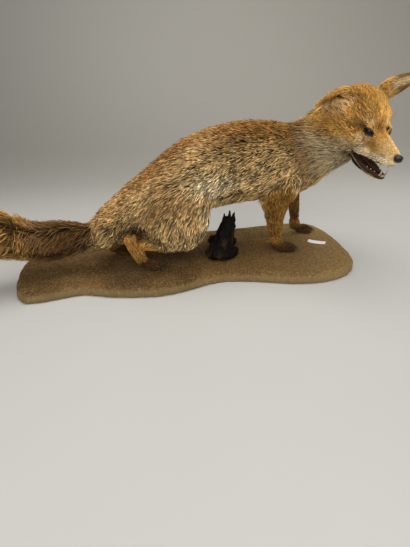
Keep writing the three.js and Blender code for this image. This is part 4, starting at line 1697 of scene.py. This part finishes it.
@dataclass(frozen=True)
class BarkFinish:
    """Charred bark, with brown wood where it has split."""

    grain: Point = (1.0, 1.0, 0.3)

    def material(self) -> Material:
        """Builds the finish."""
        shader = Shader("charred_bark")
        here = shader.place(self.grain)
        fibre = shader.noise(here, 260.0, 5.0, 0.7)
        shade = shader.layered(
            shader.mix(fibre.step(0.4, 0.85), colour("060403"), colour("1f140a")),
            (shader.noise(here, 45.0).step(0.52, 0.68) * 0.6, "4a2f10"),
        )
        tilt = shader.bump(fibre, 0.002, 1.0)
        return shader.finish(Base_Color=shade, Roughness=0.75, Specular_IOR_Level=0.15, Normal=tilt)


@dataclass(frozen=True)
class PaperFinish:
    """White paper with a faint grain and a few foxed spots."""

    pulp: float = 700.0

    def material(self) -> Material:
        """Builds the finish."""
        shader = Shader("paper")
        here = shader.place()
        pulp = shader.noise(here, self.pulp)
        shade = shader.mix(pulp, colour("f2f0ea"), colour("fdfcfa"))
        shade = shader.layered(shade, (shader.noise(here, 90.0).step(0.62, 0.8) * 0.25, "c9b78f"))
        return shader.finish(Base_Color=shade, Roughness=0.75, Normal=shader.bump(pulp, 0.0002, 0.5))


@dataclass(frozen=True)
class BackdropFinish:
    """Pale floor with painted shade that darkens it up the wall, most on the left. Distances are in metres.
    """

    shade_from: float = 0.15
    shade_to: float = 1.1
    left: float = -1.3
    right: float = 0.9

    def material(self) -> Material:
        """Builds the finish."""
        shader = Shader("floor")
        here = shader.place()
        shade = shader.mix(shader.noise(here, 1.6), colour("bab8b2"), colour("c4c2bc"))
        deep = shader.axis(here, 1).step(self.shade_from, self.shade_to)
        # Painted shade: the wall is darker towards the left.
        across = shader.axis(here, 0).step(self.left, self.right)
        wall = shader.mix(across, colour("716f68"), colour("9c988f"))
        return shader.finish(Base_Color=shader.mix(deep, shade, wall), Roughness=0.6)


# ------------------------------------------------------------------ eyes, nose, mouth, claws
def threads(lines: Array, thick: float, taper: float) -> tuple[Array, list[Array]]:
    """Makes closed four-sided threads.

    Args:
        lines: Places along each thread, one row of places for each.
        thick: Thickness at the first place.
        taper: Share of the thickness lost by the last place.

    Returns:
        Points and faces.
    """
    count, rings = lines.shape[:2]
    along = unit(lines[:, -1] - lines[:, 0])
    side = unit(np.cross(along, [0.0, 0.0, 1.0]))
    up = np.cross(side, along)
    girth = thick / 2 * (1 - taper * np.linspace(0, 1, rings))
    turns = (side, up, -side, -up)
    points = np.stack([lines + turn[:, None] * girth[None, :, None] for turn in turns], axis=2)
    start = (np.arange(count) * rings * 4)[:, None]
    quads = [start + np.array([3, 2, 1, 0]), start + (rings - 1) * 4 + np.array([0, 1, 2, 3])]
    for k in range(rings - 1):
        for one in range(4):
            two = (one + 1) % 4
            quads.append(start + np.array([4 * k + one, 4 * k + two, 4 * k + 4 + two, 4 * k + 4 + one]))
    return points.reshape(-1, 3), [np.concatenate(quads)]


def add_cone(sides: int, tip: float) -> Piece:
    """An upright cone at the origin, one metre high and in radius, whose tip has the radius given."""
    bpy.ops.object.select_all(action="DESELECT")
    bpy.ops.mesh.primitive_cone_add(vertices=sides, radius1=1.0, radius2=tip, depth=1.0, end_fill_type="NGON")
    return bpy.context.object


def add_ball(name: str, radius: float, segments: int = 48, rings: int = 32) -> Piece:
    """A sphere at the origin, in metres from a radius in millimetres."""
    bpy.ops.object.select_all(action="DESELECT")
    bpy.ops.mesh.primitive_uv_sphere_add(segments=segments, ring_count=rings, radius=radius * MM)
    made = bpy.context.object
    made.name = name
    bpy.ops.object.shade_smooth()
    return made


@dataclass
class GlassEyes:
    """The two glass eyes: a clear bulge over a dark brown iris."""

    finish: GlassFinish = GlassFinish()

    def build(self) -> None:
        """Makes, places and dresses both eyes."""
        for eye in EYES:
            name = "eye_left" if eye.side > 0 else "eye_right"
            ball = add_ball(f"glass_{name}", eye.radius)
            points = corners(ball)
            out = unit(np.array([0.60, 0.79 * eye.side, 0.02]))
            turn = Vector((0, 0, 1)).rotation_difference(Vector(out)).to_matrix()
            off = np.linalg.norm(points[:, :2], axis=1)
            bulge = np.where(points[:, 2] > 0, 0.7 * (1 - ramp(off, 2.0, 8.0)), 0.0)
            points[:, 2] += bulge
            store(ball.data, "off_axis", np.where(points[:, 2] > 0, off, 30.0))
            placed = points @ np.array(turn).T + eye.centre()
            set_corners(ball, HEAD.outwards(placed))
            dress(ball, self.finish.material(f"glass_{name}"), "eye_glass", name)


@dataclass
class Nose:
    """The bare nose pad with its nostrils and the groove below them."""

    centre: Point = (69.5, 0.0, -23.5)
    radii: Point = (7.4, 8.2, 6.2)
    depth: float = 4.0
    groove: float = 1.3

    def build(self) -> Piece:
        """Makes the pad from a ball pressed into shape."""
        pad = add_ball("nose_pad", 1.0, 96, 72)
        way = corners(pad)
        shape = way.copy()
        shape[:, 0] = np.sign(way[:, 0]) * np.abs(way[:, 0]) ** 0.85
        shape[:, 1] *= 1 - 0.22 * np.clip(-way[:, 2], 0, 1)
        shape[:, 2] += 0.08 * (1 - way[:, 1] ** 2) * (way[:, 2] > 0)
        placed = shape * np.array(self.radii)
        for side in (1, -1):
            hole = spot(placed, (6.6, side * 4.3, 0.2), (3.4, 2.0, 1.9), 0.45)
            slit = spot(placed, (4.6, side * 7.2, -0.6), (4.0, 2.6, 0.8), 0.45)
            placed[:, 0] -= self.depth * np.maximum(hole, 0.6 * slit)
        placed[:, 0] -= self.groove * spot(placed, (8.0, 0.0, -2.8), (5.0, 0.55, 4.6), 0.6)
        # Painted shade: the insides of the nostrils are darkened.
        nostril_shade = np.max([spot(placed, (3.0, s * 4.3, 0.2), (4.0, 2.4, 2.2), 0.5) for s in (1, -1)], axis=0)
        store(pad.data, "nostril_shade", nostril_shade)
        set_corners(pad, HEAD.outwards(placed + np.array(self.centre)))
        return dress(pad, NoseFinish().material(), "bare_skin", "nose")


@dataclass(frozen=True)
class Tooth:
    """One tooth in the head's frame, mirrored to both sides: root, tip, thickness and how it bends back."""

    root: Point
    tip: Point
    thick: float
    bend: float = 0.0
    flat: float = 1.0


UPPER = (
    Tooth((50, 9.0, -38), (47.5, 10.2, -53.5), 4.0, 2.0, 0.9),
    *(Tooth((62.5 - 0.8 * i ** 1.4, 1.5 + 2.5 * i, -37), (62 - 0.8 * i, 1.6 + 2.6 * i, -42.5), 2.1, 0.3)
      for i in range(3)),
    *(Tooth((38 - 9.0 * i, 11.0 + 1.6 * i, -41), (37.4 - 9.0 * i, 11.3 + 1.7 * i, -46.5), 2.8, 0.4, 2.0)
      for i in range(3)),
)
LOWER = (
    Tooth((48.5, 6.4, -66), (51.5, 7.8, -53.0), 3.8, -2.0, 0.9),
    *(Tooth((54.5 - 0.7 * i, 1.2 + 1.8 * i, -66), (56 - 0.7 * i, 1.3 + 1.9 * i, -60.5), 1.7)
      for i in range(3)),
    *(Tooth((37 - 8.4 * i, 8.0 + 1.9 * i, -66), (37 - 8.4 * i, 8.2 + 2.0 * i, -61.0 + 0.6 * i), 2.2, 0.2, 1.8)
      for i in range(3)),
)
LIP_EDGE = (
    (-24, 23.0, -51.5), (-15, 22.2, -55.5), (0, 20.4, -62.5),
    (16, 17.6, -68.0), (30, 15.0, -69.5), (42, 12.6, -68.5),
)


@dataclass
class Mouth:
    """Teeth and tongue in the open mouth."""

    slices: int = 9
    sides: int = 12
    tongue_voxel: float = 0.9
    tongue_groove: float = 1.2

    def build(self) -> None:
        """Makes both rows of teeth and the tongue."""
        for name, row in (("teeth_upper", UPPER), ("teeth_lower", LOWER)):
            teeth = join([self._tooth(tooth, side) for tooth in row for side in (1, -1)], name)
            set_corners(teeth, HEAD.outwards(corners(teeth)))
            dress(teeth, IVORY.material(), "tooth")
        self._tongue()
        self._lip_highlight()

    def _tooth(self, tooth: Tooth, side: int) -> Piece:
        """Models one tooth as a cone drawn out along its bend."""
        made = add_cone(self.sides, 0.0)
        levels = (0.2, *(-0.45 + 0.92 * k / self.slices for k in range(self.slices)))
        edit(made, *map(slice_at, levels))
        bpy.ops.object.shade_smooth()
        local = corners(made) * MM
        share = local[:, 2] + 0.5
        round_off = np.sqrt(np.clip(1 - share ** 2.2, 0, 1)) / np.maximum(1 - share, 1e-3)
        root = np.array(tooth.root) * [1, side, 1]
        tip = np.array(tooth.tip) * [1, side, 1]
        half = tooth.thick / 2
        placed = root + (tip - root) * share[:, None]
        placed[:, 0] += local[:, 0] * round_off * half * tooth.flat - tooth.bend * np.sin(share * math.pi)
        placed[:, 1] += local[:, 1] * round_off * half
        set_corners(made, placed)
        edit(made, face_outwards)
        return made

    def _tongue(self) -> Piece:
        """Smooths the tongue and presses a groove along it."""
        tongue = copy_of("tongue", "tongue_soft")
        remesh(tongue, self.tongue_voxel, 14)
        head = HEAD.inwards(corners(tongue))
        top = ramp(head[:, 2], -58.0, -52.0)
        head[:, 2] -= self.tongue_groove * top * np.exp(-(head[:, 1] / 2.2) ** 2)
        set_corners(tongue, HEAD.outwards(head))
        return dress(tongue, TONGUE_FLESH.material(), "mouth_lining", "tongue")

    def _lip_highlight(self) -> Piece:
        """Runs a thin pale thread along each side of the lower lip, a painted highlight on the wet lip."""
        route = np.array(LIP_EDGE, float)
        stops = np.linspace(0, len(route) - 1, 40)
        smooth = np.stack([np.interp(stops, range(len(route)), column) for column in route.T], axis=1)
        for _ in range(6):
            smooth[1:-1] = (smooth[:-2] + smooth[1:-1] + smooth[2:]) / 3
        lines = HEAD.outwards(np.stack([smooth, smooth * [1, -1, 1]]).reshape(-1, 3)).reshape(2, -1, 3)
        points, faces = threads(lines, 1.5, 0.6)
        return dress(mesh_from("lip_edge", points, faces), LIP_HIGHLIGHT.material(), "mouth_lining")


@dataclass(frozen=True)
class Foot:
    """Where one foot's claws grow, as its node does: heel on the body plane, length, width and turn."""

    heel: tuple[float, float]
    length: float
    width: float
    turn: float


FEET = (
    Foot((134, -47), 54, 34, 0),
    Foot((228, 46), 54, 33, -6),
    Foot((-172, -44), 45, 33, -4),
    Foot((-222, 44), 50, 33, 4),
)


@dataclass
class Claws:
    """Sixteen curved horn claws."""

    reach: float = 15.0
    girth: float = 4.0
    curl: float = 62.0
    sides: int = 10
    cuts: tuple[float, ...] = (-0.3, -0.1, 0.1, 0.28, 0.42)
    toes: tuple[float, ...] = (-1.5, -0.5, 0.5, 1.5)
    toe_pitch: float = 0.2862
    buried: float = 6.0
    knuckle: float = 9.5

    def build(self) -> Piece:
        """Makes all claws as one piece."""
        made = []
        for foot in FEET:
            [heel] = BODY_PLANE.outwards(np.array([[*foot.heel, 0.0]]))
            place = Place(tuple(heel), heading=BODY_PLANE.heading + foot.turn)
            for toe in self.toes:
                base = foot.length * (0.9 - 0.06 * abs(toe) ** 2) - self.buried
                made.append(self._claw(place, base, toe * foot.width * self.toe_pitch))
        claws = join(made, "claws")
        return dress(claws, CLAW_HORN.material(), "claw")

    def _claw(self, place: Place, base: float, across: float) -> Piece:
        """Models one claw curving down to the ground."""
        made = add_cone(self.sides, 0.05)
        edit(made, *map(slice_at, self.cuts))
        bpy.ops.object.shade_smooth()
        local = corners(made) * MM
        share = local[:, 2] + 0.5
        bend = share * math.radians(self.curl)
        start = np.array([base, across, GROUND + self.knuckle])
        line = np.stack([np.sin(bend), np.zeros(len(bend)), np.cos(bend) - 1], axis=1) * self.reach
        normal = np.stack([np.sin(bend), np.zeros(len(bend)), np.cos(bend)], axis=1)
        thick = self.girth / 2
        placed = start + line + normal * (local[:, 1] * thick * 1.15)[:, None]
        placed[:, 1] += local[:, 0] * thick * 0.75
        placed[:, 2] = np.maximum(placed[:, 2], GROUND + 0.1)
        set_corners(made, place.outwards(placed))
        edit(made, face_outwards)
        return made


@dataclass
class Whiskers:
    """Fine dark whiskers on the lips and over the eyes."""

    rows: int = 4
    columns: int = 6
    thick: float = 0.32
    taper: float = 0.85
    droop: float = 0.16
    over_eye: int = 4

    def build(self, pelt: Pelt) -> Piece:
        """Makes all whiskers as thin bent cones rooted on the skin."""
        dice = np.random.default_rng(SEED + 5)
        roots, ways, sizes = [], [], []
        for side in (1, -1):
            for row in range(self.rows):
                for column in range(self.columns):
                    roots.append([52 - 5 * column, side * (13 + column), -25 - 3.6 * row - 0.6 * column])
                    rise = -0.35 + 0.1 * row + dice.normal(scale=0.1)
                    ways.append([-0.35 - 0.12 * column, side * 1.0, rise])
                    sizes.append(20 + 6.5 * column + dice.normal(scale=3))
            for k in range(self.over_eye):
                roots.append([2 - 3 * k, side * 22, 16])
                ways.append([-0.2, side * 0.6, 0.8 + dice.normal(scale=0.1)])
                sizes.append(24 + dice.normal(scale=3))
        starts = np.array([pelt.tree.find_nearest(Vector(p))[0] for p in HEAD.outwards(np.array(roots))])
        ways = HEAD.aim(unit(np.array(ways)))
        sizes = np.array(sizes)
        stops = np.linspace(0, 1, 6)
        line = starts[:, None] + ways[:, None] * (sizes[:, None] * stops)[..., None]
        line[:, :, 2] -= sizes[:, None] * self.droop * stops ** 2
        points, faces = threads(line, self.thick, self.taper)
        made = mesh_from("whiskers", points, faces)
        return dress(made, BRISTLE.material(), "whisker")


# ------------------------------------------------------------------ the stand
@dataclass
class Stand:
    """Sanded board, charred stump and blank paper label. Voxels, swells and depths are in millimetres."""

    board_voxel: float = 3.2
    board_swell: float = 0.5
    board_ripple: float = 0.35
    board_drop: float = 0.3
    edge_wander: float = 0.8
    board_lowest: float = 0.05
    stump_voxel: float = 1.25
    ridge_depth: float = 1.6
    knob_height: float = 1.2
    stump_sink: float = 1.5
    paper_curl: float = 1.6
    paper_wave: float = 0.25

    def build(self) -> None:
        """Makes and dresses all three."""
        self._board()
        self._stump()
        self._label()

    def _board(self) -> Piece:
        """Rolls the board's rim and makes its sanded top uneven."""
        board = copy_of("base", "sand_board")
        remesh(board, self.board_voxel, 6)
        points = corners(board)
        top = ramp(points[:, 2], 2.0, 8.0)
        swell = self.board_swell * waves(points, 60.0, 21) + self.board_ripple * waves(points, 17.0, 22)
        points[:, 2] += top * (swell - self.board_drop)
        out = unit(points * [1, 1, 0])
        points += out * (top * self.edge_wander * waves(points, 34.0, 23))[:, None]
        points[:, 2] = np.maximum(points[:, 2], self.board_lowest)
        rim = 1 - ramp(points[:, 2], 12.0, 19.0)
        store(board.data, "rim", rim)
        set_corners(board, points)
        return dress(board, SandFinish().material(), "sand_board", "base")

    def _stump(self) -> Piece:
        """Cuts ridges and pits into the stump."""
        stump = copy_of("stump", "charred_stump")
        remesh(stump, self.stump_voxel, 4)
        relief = Relief(stump)
        tall = relief.points * np.array([1.0, 1.0, 0.35])
        ridges = np.abs(waves(tall, 9.0, 31))
        knobs = waves(relief.points, 15.0, 32)
        lift = self.ridge_depth * (0.5 - ridges) + self.knob_height * knobs
        points = relief.points + relief.normals * lift[:, None]
        points[:, 2] = np.maximum(points[:, 2], GROUND - self.stump_sink)
        set_corners(stump, points)
        return dress(stump, BarkFinish().material(), "bark", "stump")

    def _label(self) -> Piece:
        """Curls the corners of the paper a little."""
        label = copy_of("label", "paper_label")
        edit(label, lambda: bpy.ops.mesh.subdivide(number_cuts=9))
        points = corners(label)
        middle = (points.max(axis=0) + points.min(axis=0)) / 2
        far = np.linalg.norm((points - middle)[:, :2], axis=1)
        points[:, 2] += self.paper_curl * ramp(far, 13.0, 24.0) + self.paper_wave * waves(points, 22.0, 41)
        set_corners(label, points)
        return dress(label, PaperFinish().material(), "paper", "label")


# ------------------------------------------------------------------ studio
@dataclass
class Studio:
    """Pale floor, soft overhead light and the camera."""

    camera_at: Point = (-159.85, -822.36, 420.0)
    camera_turn: float = -13.0
    camera_down: float = 28.0
    lens: float = 27.05
    wall_at: float = 700.0
    wall_bend: float = 900.0
    room: float = 12.0
    floor_gap: float = 0.4
    air: tuple[float, ...] = (0.80, 0.79, 0.77, 1.0)
    air_strength: float = 0.5
    lamps: tuple[tuple[str, Point, Point, float, float], ...] = (
        ("overhead", (0.1, 0.1, 2.3), (0, 0, 0.1), 2.0, 38.0),
        ("fill", (-0.5, -2.4, 1.5), (0, 0, 0.2), 1.8, 42.0),
    )

    def build(self) -> None:
        """Sets the whole studio up."""
        self._floor()
        self._lights()
        self._camera()

    def _floor(self) -> None:
        """A wide pale floor that curves up into a wall behind."""
        bpy.ops.object.select_all(action="DESELECT")
        bpy.ops.mesh.primitive_grid_add(x_subdivisions=8, y_subdivisions=240, size=self.room)
        floor = bpy.context.object
        floor.name = "floor"
        bpy.ops.object.shade_smooth()
        points = corners(floor)
        points[:, 2] -= self.floor_gap
        past = np.maximum(points[:, 1] - self.wall_at, 0.0)
        turn = np.minimum(past / self.wall_bend, math.pi / 2)
        straight = np.maximum(past - self.wall_bend * math.pi / 2, 0.0)
        points[:, 1] = np.where(past > 0, self.wall_at + self.wall_bend * np.sin(turn), points[:, 1])
        points[:, 2] += self.wall_bend * (1 - np.cos(turn)) + straight
        set_corners(floor, points)
        floor.data.materials.append(BackdropFinish().material())

    def _lights(self) -> None:
        """One broad light overhead, a fill from the camera's side, and a pale room."""
        world = bpy.data.worlds.new("room")
        world.use_nodes = True
        air = world.node_tree.nodes["Background"]
        air.inputs["Color"].default_value = self.air
        air.inputs["Strength"].default_value = self.air_strength
        bpy.context.scene.world = world
        for name, at, aim, size, power in self.lamps:
            light = bpy.data.lights.new(name, "AREA")
            light.size = size
            light.energy = power
            lamp = bpy.data.objects.new(name, light)
            lamp.location = at
            lamp.rotation_euler = (Vector(aim) - Vector(at)).to_track_quat("-Z", "Y").to_euler()
            bpy.context.scene.collection.objects.link(lamp)

    def _camera(self) -> None:
        """The camera, looking down across the board."""
        lens = bpy.data.cameras.new("camera")
        lens.lens = self.lens
        lens.clip_start = 0.02
        camera = bpy.data.objects.new("camera", lens)
        camera.location = Vector(self.camera_at) * MM
        camera.rotation_euler = (math.radians(90 - self.camera_down), 0.0, math.radians(self.camera_turn))
        bpy.context.scene.collection.objects.link(camera)
        bpy.context.scene.camera = camera
        bpy.context.scene.view_settings.view_transform = "Standard"


def main() -> None:
    """Builds every piece in order."""
    logging.basicConfig(level=logging.INFO, format="%(message)s")
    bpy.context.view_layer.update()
    Studio().build()
    Stand().build()
    skin = Hide().build()
    pelt = Pelt(skin)
    store(skin.data, "hue", np.concatenate([pelt.tints, np.ones((len(pelt.tints), 1))], axis=1))
    store(skin.data, "bare", pelt.bare)
    dress(skin, HideFinish().material(), "bare_skin", *FLESH)
    GlassEyes().build()
    Nose().build()
    Mouth().build()
    Claws().build()
    Whiskers().build(pelt)
    coat = Coat(pelt)
    slots = ("coat_head", "coat_body", "coat_legs", "coat_tail")
    finishes = {slot: FurFinish().material(slot) for slot in slots}
    for number, stretch in enumerate(STRETCHES):
        dress(coat.build(stretch, number), finishes[stretch.slot], stretch.slot)


if __name__ == "__main__":
    main()
